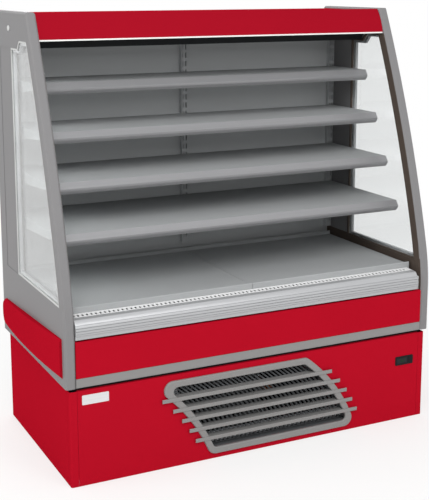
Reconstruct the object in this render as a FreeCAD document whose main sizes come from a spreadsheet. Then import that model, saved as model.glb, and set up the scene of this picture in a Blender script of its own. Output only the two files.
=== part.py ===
import FreeCAD, Part
import math
import os
import types

import Sketcher

# Open multideck display fridge: a red base with the cooling unit, an insulated case on it with two
# glazed end panels, four shelves, a curved canopy and a night blind.
# Millimetres, +Z up, front towards -Y, origin on the floor under the middle of the outer box.

Vec = FreeCAD.Vector
doc = FreeCAD.newDocument("display_fridge")

# ---------------------------------------------------------------- driving dimensions

DIMENSIONS = {
    # the whole fridge
    "overall_width": (1430, "over the two end bumpers"),
    "overall_depth": (700, "front sill to back edge"),
    "overall_height": (1484, "floor to top of the end panels"),
    "seam": (0.8, "gap between neighbouring sheet panels"),
    "seat_gap": (0.3, "clearance between a loose piece and its seat"),
    # base housing
    "base_height": (320, "floor to top of the base"),
    "base_step": (12, "base side lies this far inside the end panel"),
    "base_front_step": (10, "base front lies this far behind the sill nose"),
    "base_back_step": (20, "base back lies this far inside the case back"),
    "floor_gap": (1, "base panels end this far above the floor"),
    "sheet": (2, "sheet metal of the base"),
    "post_width": (25, "visible width of a corner post"),
    "post_corner": (6, "outer corner radius of a post"),
    "flange": (18, "folded edge of a base panel"),
    "tray_floor": (24, "underside of the chassis tray"),
    "tray_depth": (46, "height of the chassis tray's sides"),
    "tray_front": (62, "tray ends this far behind the base front, clear of the grille"),
    "foot_radius": (19, "levelling foot pad"),
    "foot_stud_radius": (6, "levelling foot stud"),
    "foot_inset": (60, "foot centre from the base side"),
    "plinth_height": (11, "dark recess between base and case"),
    "plinth_inset": (12, "recess set back from the base outline"),
    "plinth_wall": (30, "width of the plinth rails"),
    "louvre_rows": (4, "rows of air slots in the rear panel"),
    "louvre_margin": (110, "plain part at both ends of the rear air slots"),
    "louvre_pitch": (118, "spacing of the rear air slots"),
    "louvre_height": (9, "height of a rear air slot"),
    # grille
    "grille_bottom": (18, "lower edge of the grille frame"),
    "grille_top_drop": (19.5, "upper edge of the grille frame below the base top"),
    "grille_width": (600, "width of the frame along its top"),
    "grille_foot_width": (578, "width of the frame along its foot"),
    "grille_lean": (205, "shift of the bowed end from top to bottom"),
    "grille_foot": (385, "lower right corner of the frame from the middle"),
    "grille_bow": (610, "radius of the bowed ends"),
    "grille_band": (23.5, "width of the frame's band"),
    "grille_corner": (32, "outer corner radius of the frame"),
    "frame_stand": (7, "frame stands proud of the base front"),
    "bar_count": (5, "blades across the grille"),
    "bar_first": (72.1, "underside of the lowest blade"),
    "bar_pitch": (39.4, "spacing of the blades"),
    "bar_height": (13, "front lip of a blade"),
    "bar_overhang": (28, "blade end past the frame"),
    "blade_depth": (24, "blade behind the frame's face"),
    "blade_rise": (0.5, "blade climbs this much towards the back"),
    "blade_wall": (3, "thickness of a blade"),
    "rib_pitch": (16.9, "spacing of the slanting ribs"),
    "rib_gap": (9, "air gap between two ribs"),
    "rib_steps": (6, "straight steps that make the bow of a rib"),
    "rib_margin": (14, "plain strip before the first gap"),
    "rib_wall": (9, "front to back thickness of the ribbed panel"),
    "rib_swell": (8, "bow of the ribbed panel"),
    # case
    "panel_thickness": (34, "end panel"),
    "case_top_step": (9, "roof lies this far below the end panels"),
    "nose_inset": (5, "panel nose lies this far behind the sill nose"),
    "nose_straight": (153, "upright part of the nose, from the case's underside"),
    "nose_knee": (319, "start of the long lean above the case's underside"),
    "nose_knee_back": (21, "nose has gone back this far at the knee"),
    "nose_top_back": (312, "nose has gone back this far at the top"),
    "nose_bow": (4600, "radius of the leaning nose"),
    "nose_chamfer": (6, "chamfer along the panel edges"),
    "window_rear": (201, "rear edge of the window from the back"),
    "window_bottom": (253, "lower edge of the window above the case's underside"),
    "window_top_drop": (120, "upper edge of the window below the panel top"),
    "window_lobe_rise": (27, "raised front part of the window"),
    "window_lobe_length": (86, "length of the raised part"),
    "window_margin": (38, "panel left in front of the window"),
    "seal_width": (6, "width of the window seal"),
    "glass_thickness": (20, "sealed double pane"),
    "glass_sheet": (4, "one sheet of the double pane"),
    "glass_inset": (4, "glass face behind the panel face"),
    "field_depth": (1.5, "recessed field behind the window"),
    "field_length": (131, "length of the recessed field"),
    "window_corner": (13, "corner radius of the raised part"),
    "window_foot": (66, "short lower part of the window's front edge"),
    "trim_wall": (1.2, "dark trim on the inner face, in front of the window"),
    "trim_drop": (20, "dark trim below the window"),
    "trim_foot": (60, "dark trim under the window's front corner"),
    # bumpers and front trim
    "bumper_swell": (22.5, "greatest thickness of an end bumper"),
    "bumper_end": (9, "thickness of an end bumper at its ends"),
    "bumper_bottom": (30, "underside of an end bumper above the case's underside"),
    "bumper_front_height": (128, "height of an end bumper at the front"),
    "bumper_back_height": (93, "height of an end bumper at the back"),
    "bumper_bevel": (7, "bevel along the top of an end bumper"),
    "bumper_front_gap": (30, "end bumper starts this far behind the nose"),
    "rail_height": (30, "grey rail under the front bumper"),
    "front_bumper_height": (120, "red front bumper"),
    "front_skin": (16, "thickness of the front bumper and rail"),
    "front_setback": (2, "front bumper's face behind the panel nose"),
    "sill_gap": (7.5, "dark gap between the front bumper and the sill profile"),
    "sill_height": (61.5, "sill profile"),
    "sill_setback": (20, "sill ends short of the right end panel"),
    "slot_pitch": (15, "spacing of the return-air slots"),
    "slot_width": (7, "width of a return-air slot"),
    "slot_margin": (9, "plain strip in front of and behind the return-air slots"),
    # insulated tub and air duct
    "tub_back_step": (5, "foam back lies this far inside the end panels' back edge"),
    "tub_floor": (40, "foam floor"),
    "tub_wall": (48, "foam back and front walls"),
    "tub_roof": (38, "foam roof"),
    "roof_sheet": (2, "red roof panel"),
    "duct_depth": (12, "air duct in front of the foam back"),
    "duct_sheet": (1.5, "perforated back panel"),
    "duct_slot_length": (64, "air slot of the back panel"),
    "duct_slot_pitch": (112, "spacing of the back panel's air slots"),
    "upright_width": (24, "slotted upright"),
    "upright_wall": (2, "wall of a slotted upright"),
    "upright_depth": (18, "slotted upright, front to back"),
    "upright_slot_pitch": (31, "spacing of the hook slots"),
    "upright_slots_below": (5, "hook slots below the lowest shelf's"),
    "upright_slot_height": (20, "hook slot"),
    "upright_slot_width": (4.8, "hook slot"),
    "upright_slot_side": (6, "hook slot from the upright's middle"),
    # shelves
    "shelf_count": (4, "shelves above the deck"),
    "shelf_first": (213, "top face of the lowest shelf above the deck lip"),
    "shelf_slots": (5, "hook slots from one shelf to the next"),
    "shelf_front": (153, "nose of the lowest shelf behind the sill nose"),
    "shelf_step": (73.5, "each shelf's nose behind the one below"),
    "shelf_side_gap": (6, "shelf end from the end panel"),
    "shelf_sheet": (1.5, "shelf pan"),
    "shelf_fold": (22, "folded edge of the shelf pan"),
    "bracket_wall": (3, "side bracket of a shelf"),
    "bracket_depth": (46, "side bracket at the hooks"),
    "hook_drop": (12, "hook seat below the shelf's top face"),
    "hook_height": (9, "neck of a shelf hook"),
    "hook_lip": (4, "hook reaches down behind the wall"),
    "hook_play": (1.5, "room behind the wall for tipping the shelf"),
    "price_rail_height": (38, "price rail"),
    "price_rail_depth": (17, "price rail, front to back"),
    # deck
    "deck_rise": (84.5, "top of the deck pan's front lip above the sill's underside"),
    "deck_back_step": (72, "deck pans start this far behind the sill nose"),
    "deck_drop": (9, "deck floor below its front lip"),
    "deck_sheet": (1.5, "deck pan"),
    "deck_side_gap": (8, "deck pan's end from the end panel"),
    "deck_clear": (1.2, "room in front of the deck pans for tipping them"),
    # canopy
    "canopy_face": (83, "height of the red canopy face"),
    "canopy_top_step": (3, "canopy's top edge below the top of the end panels"),
    "canopy_face_lean": (39, "top of the canopy face behind its lower edge"),
    "canopy_nose_back": (12, "canopy's lower edge behind the panel nose"),
    "canopy_bow": (190, "radius of the canopy face"),
    "canopy_sheet": (2, "canopy sheet"),
    "lip_height": (5, "pale lip under the canopy"),
    "lamp_radius": (8, "lamp tube"),
    "roller_radius": (13, "night blind on its roller"),
    "roller_back": (35, "roller's middle behind the canopy's lower edge"),
    "roller_rise": (28, "roller's middle above the canopy's lower edge"),
    "blind_bar_height": (18, "pull bar"),
    "blind_bar_depth": (21, "pull bar, front to back"),
    "blind_bar_back": (19.3, "pull bar behind the canopy's lower edge"),
    "blind_bar_hang": (8, "pull bar below the canopy's lower edge"),
    "blind_cloth": (0.8, "thickness of the blind's cloth"),
    "outlet_back": (120, "air outlet behind the canopy's lower edge"),
    "outlet_depth": (50, "air outlet, front to back"),
    "outlet_drop": (34, "foot of the air outlet below the canopy's lower edge"),
    "outlet_wall": (3, "walls of the air outlet"),
    "outlet_pitch": (28, "spacing of the air outlet's cells"),
    # controller
    "controller_inset": (85.5, "controller centre from the base's right side"),
    "controller_drop": (96, "controller centre below the base top"),
    "controller_width": (77, "controller bezel"),
    "controller_tall": (33, "controller bezel"),
    "bezel_stand": (2.5, "bezel proud of the base front"),
    "key_width": (7, "controller key"),
    "key_travel": (0.6, "how far a key presses in"),
    # cooling unit
    "fan_radius": (108, "condenser fan"),
    "fan_blades": (5, "blades of a fan"),
    "coil_rows": (16, "fins drawn on the condenser"),
    "small_coil_rows": (24, "fins drawn on the evaporator"),
    "coil_bend": (12, "tube bends past a coil's end"),
    "small_fan_radius": (62, "evaporator fan"),
    "pipe_radius": (5, "refrigerant pipe"),
    "shell_radius": (82, "compressor shell"),
    "shell_height": (190, "compressor shell"),
}


class Size:
    """A number together with the sheet expression that gives it."""

    def __init__(self, number, text):
        self.number = number
        self.text = text

    def __add__(self, other):
        other = as_size(other)
        return Size(self.number + other.number, f"({self.text} + {other.text})")

    def __sub__(self, other):
        other = as_size(other)
        return Size(self.number - other.number, f"({self.text} - {other.text})")

    def __mul__(self, other):
        other = as_size(other)
        return Size(self.number * other.number, f"({self.text} * {other.text})")

    def __truediv__(self, other):
        other = as_size(other)
        return Size(self.number / other.number, f"({self.text} / {other.text})")

    def __radd__(self, other):
        return as_size(other) + self

    def __rsub__(self, other):
        return as_size(other) - self

    def __rmul__(self, other):
        return as_size(other) * self

    def __neg__(self):
        return 0 - self


def as_size(value):
    """A plain number as a Size."""
    return value if isinstance(value, Size) else Size(float(value), f"({float(value)})")


def root(value):
    return Size(math.sqrt(value.number), f"sqrt({value.text})")


def whole(value):
    """How many whole steps go into a length; a hair is added against rounding."""
    return Size(math.floor(value.number + 1e-6), f"floor({value.text} + 0.000001)")


def write_sheet():
    """The spreadsheet of driving dimensions, and the same values as Sizes."""
    sheet = doc.addObject("Spreadsheet::Sheet", "sizes")
    values = types.SimpleNamespace()
    for row, (name, (number, note)) in enumerate(DIMENSIONS.items(), start=1):
        sheet.set(f"A{row}", name)
        sheet.set(f"B{row}", str(number))
        sheet.set(f"C{row}", note)
        sheet.setAlias(f"B{row}", name)
        setattr(values, name, Size(float(number), f"sizes.{name}"))
    doc.recompute()
    return values


D = write_sheet()

# ---------------------------------------------------------------- building helpers

NODES = []


def bind(thing, **values):
    """Sets each property and ties it to the sheet."""
    for name, value in values.items():
        setattr(thing, name, as_size(value).number)
        if isinstance(value, Size):
            thing.setExpression(name, value.text)


def place(thing, x=0, y=0, z=0, turn=None):
    """Places an object, its position tied to the sheet."""
    spot = [as_size(v) for v in (x, y, z)]
    base = Vec(*[v.number for v in spot])
    thing.Placement = FreeCAD.Placement(base, turn or FreeCAD.Rotation())
    for axis, value in zip("xyz", spot):
        thing.setExpression(f"Placement.Base.{axis}", value.text)


def node(thing, name):
    """Marks an object as a sub-part, under the name of its file."""
    thing.Label = name
    NODES.append(thing)
    return thing


def new_body(name):
    return doc.addObject("PartDesign::Body", name)


def origin_part(body, role):
    return next(f for f in body.Origin.OriginFeatures if f.Role == role)


def arc_between(start, end, bow):
    """The short arc between two corners; a positive radius turns left, a negative one right."""
    left = bow.number > 0
    first, last = (start, end) if left else (end, start)
    radius = abs(bow.number)
    chord = last - first
    rise = math.sqrt(radius ** 2 - (chord.Length / 2) ** 2)
    centre = (first + last) / 2 + Vec(-chord.y, chord.x, 0).normalize() * rise
    angles = [math.atan2((p - centre).y, (p - centre).x) for p in (first, last)]
    return Part.ArcOfCircle(Part.Circle(centre, Vec(0, 0, 1), radius), *angles)


def draw_loop(drawing, loop):
    """Draws one closed outline: corners (across, up) or (across, up, bow to the next corner)."""
    corners = [[as_size(v) for v in corner] for corner in loop]
    points = [Vec(c[0].number, c[1].number, 0) for c in corners]
    edges = []
    for index, corner in enumerate(corners):
        start, end = points[index], points[(index + 1) % len(points)]
        bow = corner[2] if len(corner) > 2 else None
        shape = arc_between(start, end, bow) if bow else Part.LineSegment(start, end)
        edge = drawing.addGeometry(shape, False)
        turned = bow is not None and bow.number < 0
        edges.append((edge, 2, 1, bow) if turned else (edge, 1, 2, bow))
    for index, (edge, _, last, bow) in enumerate(edges):
        following, first = edges[(index + 1) % len(edges)][:2]
        drawing.addConstraint(Sketcher.Constraint("Coincident", edge, last, following, first))
        if bow is not None:
            fixed = drawing.addConstraint(Sketcher.Constraint("Radius", edge, abs(bow.number)))
            drawing.setExpression(f"Constraints[{fixed}]", f"abs({bow.text})")
    for (edge, first, _, _), corner in zip(edges, corners):
        for kind, value in zip(("DistanceX", "DistanceY"), corner):
            rule = Sketcher.Constraint(kind, -1, 1, edge, first, value.number)
            drawing.setExpression(f"Constraints[{drawing.addConstraint(rule)}]", value.text)


def draw_circle(drawing, across, up, radius):
    across, up, radius = (as_size(v) for v in (across, up, radius))
    circle = Part.Circle(Vec(across.number, up.number, 0), Vec(0, 0, 1), radius.number)
    edge = drawing.addGeometry(circle, False)
    rules = (
        (Sketcher.Constraint("DistanceX", -1, 1, edge, 3, across.number), across),
        (Sketcher.Constraint("DistanceY", -1, 1, edge, 3, up.number), up),
        (Sketcher.Constraint("Radius", edge, radius.number), radius),
    )
    for rule, value in rules:
        drawing.setExpression(f"Constraints[{drawing.addConstraint(rule)}]", value.text)


def sketch(body, plane, height, loops=(), circles=()):
    """A sketch parallel to one of the body's origin planes, at a place along the axis across it."""
    drawing = body.newObject("Sketcher::SketchObject", body.Name + "_sketch")
    drawing.AttachmentSupport = [(origin_part(body, plane + "_Plane"), "")]
    drawing.MapMode = "FlatFace"
    out = -as_size(height) if plane == "XZ" else as_size(height)
    drawing.AttachmentOffset = FreeCAD.Placement(Vec(0, 0, out.number), FreeCAD.Rotation())
    drawing.setExpression("AttachmentOffset.Base.z", out.text)
    for loop in loops:
        draw_loop(drawing, loop)
    for circle in circles:
        draw_circle(drawing, *circle)
    return drawing


def pad(body, plane, low, high, *loops, circles=()):
    """A pad between two places along the axis across the plane. XZ sketches look towards -Y."""
    low, high = as_size(low), as_size(high)
    feature = body.newObject("PartDesign::Pad", body.Name + "_pad")
    feature.Profile = sketch(body, plane, high if plane == "XZ" else low, loops, circles)
    bind(feature, Length=high - low)
    return feature


def pocket(body, plane, low, high, *loops, circles=()):
    """A pocket between two places along the axis across the plane."""
    low, high = as_size(low), as_size(high)
    feature = body.newObject("PartDesign::Pocket", body.Name + "_pocket")
    feature.Profile = sketch(body, plane, low if plane == "XZ" else high, loops, circles)
    bind(feature, Length=high - low)
    return feature


def rectangle(left, right, bottom, top):
    return [(left, bottom), (right, bottom), (right, top), (left, top)]


def repeat(body, feature, axis, count, pitch):
    """Repeats a feature along an origin axis of the body."""
    pattern = body.newObject("PartDesign::LinearPattern", body.Name + "_row")
    pattern.Originals = [feature]
    pattern.Direction = (origin_part(body, axis + "_Axis"), [""])
    pattern.Mode = "Spacing"
    bind(pattern, Offset=pitch)
    pattern.Occurrences = int(count.number)
    pattern.setExpression("Occurrences", count.text)
    body.Tip = pattern
    return pattern


def turn_repeat(body, feature, axis, count):
    """Repeats a feature round an origin axis of the body."""
    pattern = body.newObject("PartDesign::PolarPattern", body.Name + "_ring")
    pattern.Originals = [feature]
    pattern.Axis = (origin_part(body, axis + "_Axis"), [""])
    pattern.Angle = 360
    pattern.Occurrences = int(as_size(count).number)
    pattern.setExpression("Occurrences", as_size(count).text)
    body.Tip = pattern
    return pattern


def mirror_in_body(body, features, plane="YZ"):
    """Adds the mirror image of some features to their own body."""
    twin = body.newObject("PartDesign::Mirrored", body.Name + "_mirror")
    twin.Originals = features
    twin.MirrorPlane = (origin_part(body, plane + "_Plane"), [""])
    body.Tip = twin
    return twin


def ease(body, feature, radius, wanted, kind="Fillet"):
    """Rounds or chamfers the edges of a feature that pass a test."""
    doc.recompute()
    found = [f"Edge{i}" for i, e in enumerate(feature.Shape.Edges, start=1) if wanted(e)]
    if not found:
        raise ValueError(f"{body.Name}: no edge to ease")
    soft = body.newObject("PartDesign::" + kind, body.Name + "_ease")
    soft.Base = (feature, found)
    bind(soft, **{"Radius" if kind == "Fillet" else "Size": radius})
    return soft


def runs_along(edge, axis):
    """True for a straight edge parallel to an axis."""
    straight = isinstance(edge.Curve, (Part.Line, Part.LineSegment))
    return straight and abs(edge.tangentAt(edge.FirstParameter).dot(axis)) > 0.999


def near(edge, x=None, y=None, z=None, reach=0.6):
    """True if the middle of an edge's box is at the given coordinates."""
    middle = edge.BoundBox.Center
    pairs = ((x, middle.x), (y, middle.y), (z, middle.z))
    return all(v is None or abs(as_size(v).number - m) < reach for v, m in pairs)


def box(name, x, y, z):
    """A block between three pairs of places."""
    block = doc.addObject("Part::Box", name)
    pairs = [[as_size(v) for v in pair] for pair in (x, y, z)]
    bind(block, Length=pairs[0][1] - pairs[0][0])
    bind(block, Width=pairs[1][1] - pairs[1][0])
    bind(block, Height=pairs[2][1] - pairs[2][0])
    place(block, *[pair[0] for pair in pairs])
    return block


TURNS = {
    "X": FreeCAD.Rotation(Vec(0, 1, 0), 90),
    "Y": FreeCAD.Rotation(Vec(1, 0, 0), -90),
    "Z": FreeCAD.Rotation(),
}


def rod(name, axis, spot, radius, length):
    """A cylinder that starts at a place and runs along an axis."""
    cylinder = doc.addObject("Part::Cylinder", name)
    bind(cylinder, Radius=radius, Height=length)
    place(cylinder, *spot, turn=TURNS[axis])
    return cylinder


def fuse(name, *pieces):
    joined = doc.addObject("Part::MultiFuse", name)
    joined.Shapes = list(pieces)
    return joined


def minus(name, base, tool):
    cut = doc.addObject("Part::Cut", name)
    cut.Base, cut.Tool = base, tool
    return cut


def overlap(name, one, other):
    shared = doc.addObject("Part::Common", name)
    shared.Base, shared.Tool = one, other
    return shared


def mirrored(name, source):
    """The mirror image of an object across the middle plane."""
    twin = doc.addObject("Part::Mirroring", name)
    twin.Source = source
    twin.Normal = Vec(1, 0, 0)
    return twin


AXIS_X, AXIS_Y, AXIS_Z = Vec(1, 0, 0), Vec(0, 1, 0), Vec(0, 0, 1)

# ---------------------------------------------------------------- shared places

front = -D.overall_depth / 2
back = D.overall_depth / 2
top = D.overall_height
case_half = D.overall_width / 2 - D.bumper_swell
inner_half = case_half - D.panel_thickness
case_bottom = D.base_height + D.plinth_height
base_half = case_half - D.base_step
base_front = front + D.base_front_step
base_back = back - D.base_back_step
nose = front + D.nose_inset
roof_top = top - D.case_top_step
tray_top = D.tray_floor + D.tray_depth
knee = nose + D.nose_knee_back
crest = nose + D.nose_top_back
straight_top = case_bottom + D.nose_straight
knee_top = case_bottom + D.nose_knee
knee_rise = D.nose_knee - D.nose_straight
knee_bow = (D.nose_knee_back * D.nose_knee_back + knee_rise * knee_rise) / (2 * D.nose_knee_back)
# centre of the long nose arc, from its chord
lean_run, lean_rise = crest - knee, top - knee_top
lean_chord = root(lean_run * lean_run + lean_rise * lean_rise)
lean_reach = root(D.nose_bow * D.nose_bow - lean_chord * lean_chord / 4)
lean_y = (knee + crest) / 2 + lean_reach * lean_rise / lean_chord
lean_z = (knee_top + top) / 2 - lean_reach * lean_run / lean_chord


def nose_at(height, inset=0):
    """Y of the leaning nose at a height, or of a line that far behind it, square to it."""
    reach, rise = D.nose_bow - inset, as_size(height) - lean_z
    return lean_y - root(reach * reach - rise * rise)


tub_back = back - D.tub_back_step
duct_front = tub_back - D.tub_wall - D.duct_depth
upright_front = duct_front - D.upright_depth
window_low = case_bottom + D.window_bottom
skin_back = nose + D.front_setback + D.front_skin
rail_top = case_bottom + D.rail_height
bumper_top = rail_top + D.front_bumper_height
sill_low = bumper_top + D.sill_gap
sill_high = sill_low + D.sill_height
deck_top = sill_low + D.deck_rise
shelf_low = deck_top + D.shelf_first
shelf_pitch = D.shelf_slots * D.upright_slot_pitch
sill_left = -(inner_half - D.seam)
sill_right = inner_half - D.sill_setback
shelf_half = inner_half - D.shelf_side_gap
canopy_low = top - D.canopy_top_step - D.canopy_face
canopy_front = nose_at(canopy_low) + D.canopy_nose_back
deck_half = inner_half - D.deck_side_gap

# ---------------------------------------------------------------- base housing


def build_chassis():
    """Open sheet tray that carries the cooling unit, between two rails that reach the corner posts."""
    wall = D.sheet
    half, front_edge, back_edge = base_half - wall, base_front + D.tray_front, base_back - wall
    outer = box("tray_outer", (-half, half), (front_edge, back_edge), (D.tray_floor, tray_top))
    inner = box(
        "tray_inner",
        (-half + wall, half - wall),
        (front_edge + wall, back_edge - wall),
        (D.tray_floor + wall, tray_top + 1),
    )
    tray = minus("tray", outer, inner)
    heights = (D.tray_floor, D.tray_floor + wall)
    rail = box("rail", (-half, -half + 2 * D.foot_inset), (base_front + wall, front_edge), heights)
    carrier = fuse("tray_and_rails", tray, rail, mirrored("rail_far", rail))
    body = new_body("post_clearance")
    notch = D.post_corner + D.seat_gap
    corners = [
        rectangle(x, x + side * notch, y, y + into * notch)
        for side in (1, -1)
        for x in (-side * half,)
        for y, into in ((base_front + wall, 1), (back_edge, -1))
    ]
    pad(body, "XY", D.tray_floor - 1, tray_top + 1, *corners)
    node(minus("chassis_tray", carrier, body), "chassis_tray")


def build_posts():
    """Four rounded corner posts, front pair and back pair."""
    body = new_body("corner_posts")
    wall, bend, inner_bend = D.sheet, D.post_corner, D.post_corner - D.sheet
    for face, into in ((base_front, 1), (base_back, -1)):
        left = -base_half
        loop = [
            (left, face + into * D.post_width),
            (left, face + into * bend, into * bend),
            (left + bend, face),
            (left + D.post_width, face),
            (left + D.post_width, face + into * wall),
            (left + bend, face + into * wall, -into * inner_bend),
            (left + wall, face + into * bend),
            (left + wall, face + into * D.post_width),
        ]
        post = pad(body, "XY", D.floor_gap, D.base_height, loop)
        mirror_in_body(body, [post])
    node(body, "corner_posts")


def build_feet():
    """Four levelling feet: a round pad, a hexagonal collar and a stud."""
    body = new_body("levelling_feet")
    x, y = base_half - D.foot_inset, base_front + D.foot_inset
    far_y = base_back - D.foot_inset
    for spot in (y, far_y):
        pads = pad(body, "XY", 0, 6, circles=[(x, spot, D.foot_radius)])
        reach, flat = D.foot_stud_radius * 2, D.foot_stud_radius * math.sqrt(3)
        corners = [(1, 0), (0.5, 1), (-0.5, 1), (-1, 0), (-0.5, -1), (0.5, -1)]
        hexagon = [(x + a * reach, spot + b * flat) for a, b in corners]
        collar = pad(body, "XY", 6, 12, hexagon)
        stud = pad(body, "XY", 12, D.tray_floor, circles=[(x, spot, D.foot_stud_radius)])
        mirror_in_body(body, [pads, collar, stud])
    node(body, "levelling_feet")


# The grille's outline leans to the right going down; both ends are arcs of one radius.
grille_top = D.base_height - D.grille_top_drop


def bow_centre(foot, lean):
    """Centre of a bowed end that starts at its foot and shifts left by its lean up to the top."""
    rise = grille_top - D.grille_bottom
    chord = root(lean * lean + rise * rise)
    reach = root(D.grille_bow * D.grille_bow - chord * chord / 4)
    across = foot - lean / 2 - reach * rise / chord
    return across, (grille_top + D.grille_bottom) / 2 - reach * lean / chord


left_lean = D.grille_lean + D.grille_width - D.grille_foot_width
right_bow = bow_centre(D.grille_foot, D.grille_lean)
left_bow = bow_centre(D.grille_foot - D.grille_foot_width, left_lean)


def bow_at(height, inset=0, right=True):
    """X of the right or left end of the grille at a height, moved inwards by the inset."""
    across, middle = right_bow if right else left_bow
    rise = as_size(height) - middle
    reach = D.grille_bow - inset if right else D.grille_bow + inset
    return across + root(reach * reach - rise * rise)


def grille_loop(inset):
    """The grille's outline, moved inwards all round by the inset."""
    inset = as_size(inset)
    low, high = D.grille_bottom + inset, grille_top - inset
    return [
        (bow_at(low, inset), low, D.grille_bow - inset),
        (bow_at(high, inset), high),
        (bow_at(high, inset, False), high, -(D.grille_bow + inset)),
        (bow_at(low, inset, False), low),
    ]


def along_y(edge):
    return runs_along(edge, AXIS_Y)


def build_front_panel():
    """Front panel with the grille opening and a folded top edge."""
    body = new_body("base_front_panel")
    half = base_half - D.post_width - D.seam
    pad(body, "XZ", base_front, base_front + D.sheet, rectangle(-half, half, D.floor_gap, D.base_height))
    pad(
        body,
        "XZ",
        base_front + D.sheet,
        base_front + D.flange,
        rectangle(-half, half, D.base_height - D.sheet, D.base_height),
    )
    hole = grille_loop(D.grille_band - D.seam)
    opening = pocket(body, "XZ", base_front - 1, base_front + D.sheet + 1, hole)
    corners = [(across, up) for across, up, *_ in hole]

    def corner(edge):
        return along_y(edge) and any(near(edge, x=across, z=up) for across, up in corners)

    ease(body, opening, D.grille_corner - D.grille_band * 0.7, corner)
    node(body, "base_front_panel")


def build_side_panels():
    """Both side panels of the base, with folded top and bottom edges."""
    body = new_body("base_side_panels")
    low, high = base_front + D.post_width + D.seam, base_back - D.post_width - D.seam
    face = base_half - D.sheet
    walls = [pad(body, "YZ", face, base_half, rectangle(low, high, D.floor_gap, D.base_height))]
    for bottom in (D.floor_gap, D.base_height - D.sheet):
        fold = rectangle(low, high, bottom, bottom + D.sheet)
        walls.append(pad(body, "YZ", base_half - D.flange, base_half - D.sheet, fold))
    mirror_in_body(body, walls)
    node(body, "base_side_panels")


def build_rear_panel():
    """Rear panel with three rows of air slots over the cooling unit."""
    body = new_body("base_rear_panel")
    half = base_half - D.post_width - D.seam
    pad(body, "XZ", base_back - D.sheet, base_back, rectangle(-half, half, D.floor_gap, D.base_height))
    count = whole(2 * (half - D.louvre_margin) / D.louvre_pitch)
    start = -D.louvre_pitch * (count - 1) / 2
    length = D.louvre_pitch * 0.68
    for row in range(int(D.louvre_rows.number)):
        low = tray_top + 30 + row * 4 * D.louvre_height
        slot = pocket(
            body,
            "XZ",
            base_back - D.sheet - 1,
            base_back + 1,
            rectangle(start - length / 2, start + length / 2, low, low + D.louvre_height),
        )
        repeat(body, slot, "X", count, D.louvre_pitch)
    node(body, "base_rear_panel")


def build_plinth():
    """Dark ring that carries the case a finger above the base."""
    x, low, high = base_half - D.plinth_inset, base_front + D.plinth_inset, base_back - D.plinth_inset
    wall, heights = D.plinth_wall, (D.base_height, case_bottom)
    outer = box("plinth_outer", (-x, x), (low, high), heights)
    inner = box(
        "plinth_inner",
        (-x + wall, x - wall),
        (low + wall, high - wall),
        (D.base_height - 1, case_bottom + 1),
    )
    node(minus("plinth_ring", outer, inner), "plinth_ring")


# ---------------------------------------------------------------- grille


def build_grille_frame():
    """Moulded band round the opening, its corners and front rims rounded."""
    body = new_body("grille_frame")
    face = base_front - D.frame_stand
    plate = pad(body, "XZ", face, base_front, grille_loop(0))
    ease(body, plate, D.grille_corner, along_y)
    hole = pocket(body, "XZ", face - 1, base_front + 1, grille_loop(D.grille_band))
    corners = [(across, up) for across, up, *_ in grille_loop(D.grille_band)]

    def inner_corner(edge):
        return along_y(edge) and any(near(edge, x=across, z=up) for across, up in corners)

    eased = ease(body, hole, D.grille_corner - D.grille_band * 0.7, inner_corner)
    ease(body, eased, D.frame_stand * 0.6, lambda edge: near(edge, y=face, reach=0.05))
    node(body, "grille_frame")


def build_grille_bars():
    """Five blades: a front lip over the frame's face, its ends past the frame, and a level blade."""
    lips = new_body("bar_lips")
    blades = new_body("bar_blades")
    face, bite, bevel = base_front - D.frame_stand, 0.5, 1.2
    back_edge = face + D.blade_depth
    for index in range(int(D.bar_count.number)):
        low = D.bar_first + index * D.bar_pitch
        middle, high = low + D.bar_height / 2, low + D.bar_height
        left = bow_at(middle, 0, False) - D.bar_overhang
        right = bow_at(middle) + D.bar_overhang
        lip = [
            (front, low + bevel),
            (front + bevel, low),
            (face, low),
            (face, high),
            (front + bevel, high),
            (front, high - bevel),
        ]
        pad(lips, "YZ", left, right, lip)
        blade = [
            (face - bite, high - D.blade_wall),
            (back_edge, high + D.blade_rise - D.blade_wall),
            (back_edge, high + D.blade_rise),
            (face - bite, high),
        ]
        pad(blades, "YZ", left, right, blade)
    outline = new_body("blade_outline")
    pad(outline, "XZ", face - bite, back_edge, grille_loop(D.grille_band + D.seat_gap))
    node(fuse("grille_bars", lips, overlap("blades", blades, outline)), "grille_bars")


def rib_gap_loop(start, heights):
    """Gap between two ribs, which follows the grille's left end in straight steps."""
    near_side = [(bow_at(height, 0, False) + start, height) for height in heights]
    far_side = [(across + D.rib_gap, height) for across, height in near_side]
    return far_side + near_side[::-1]


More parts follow.
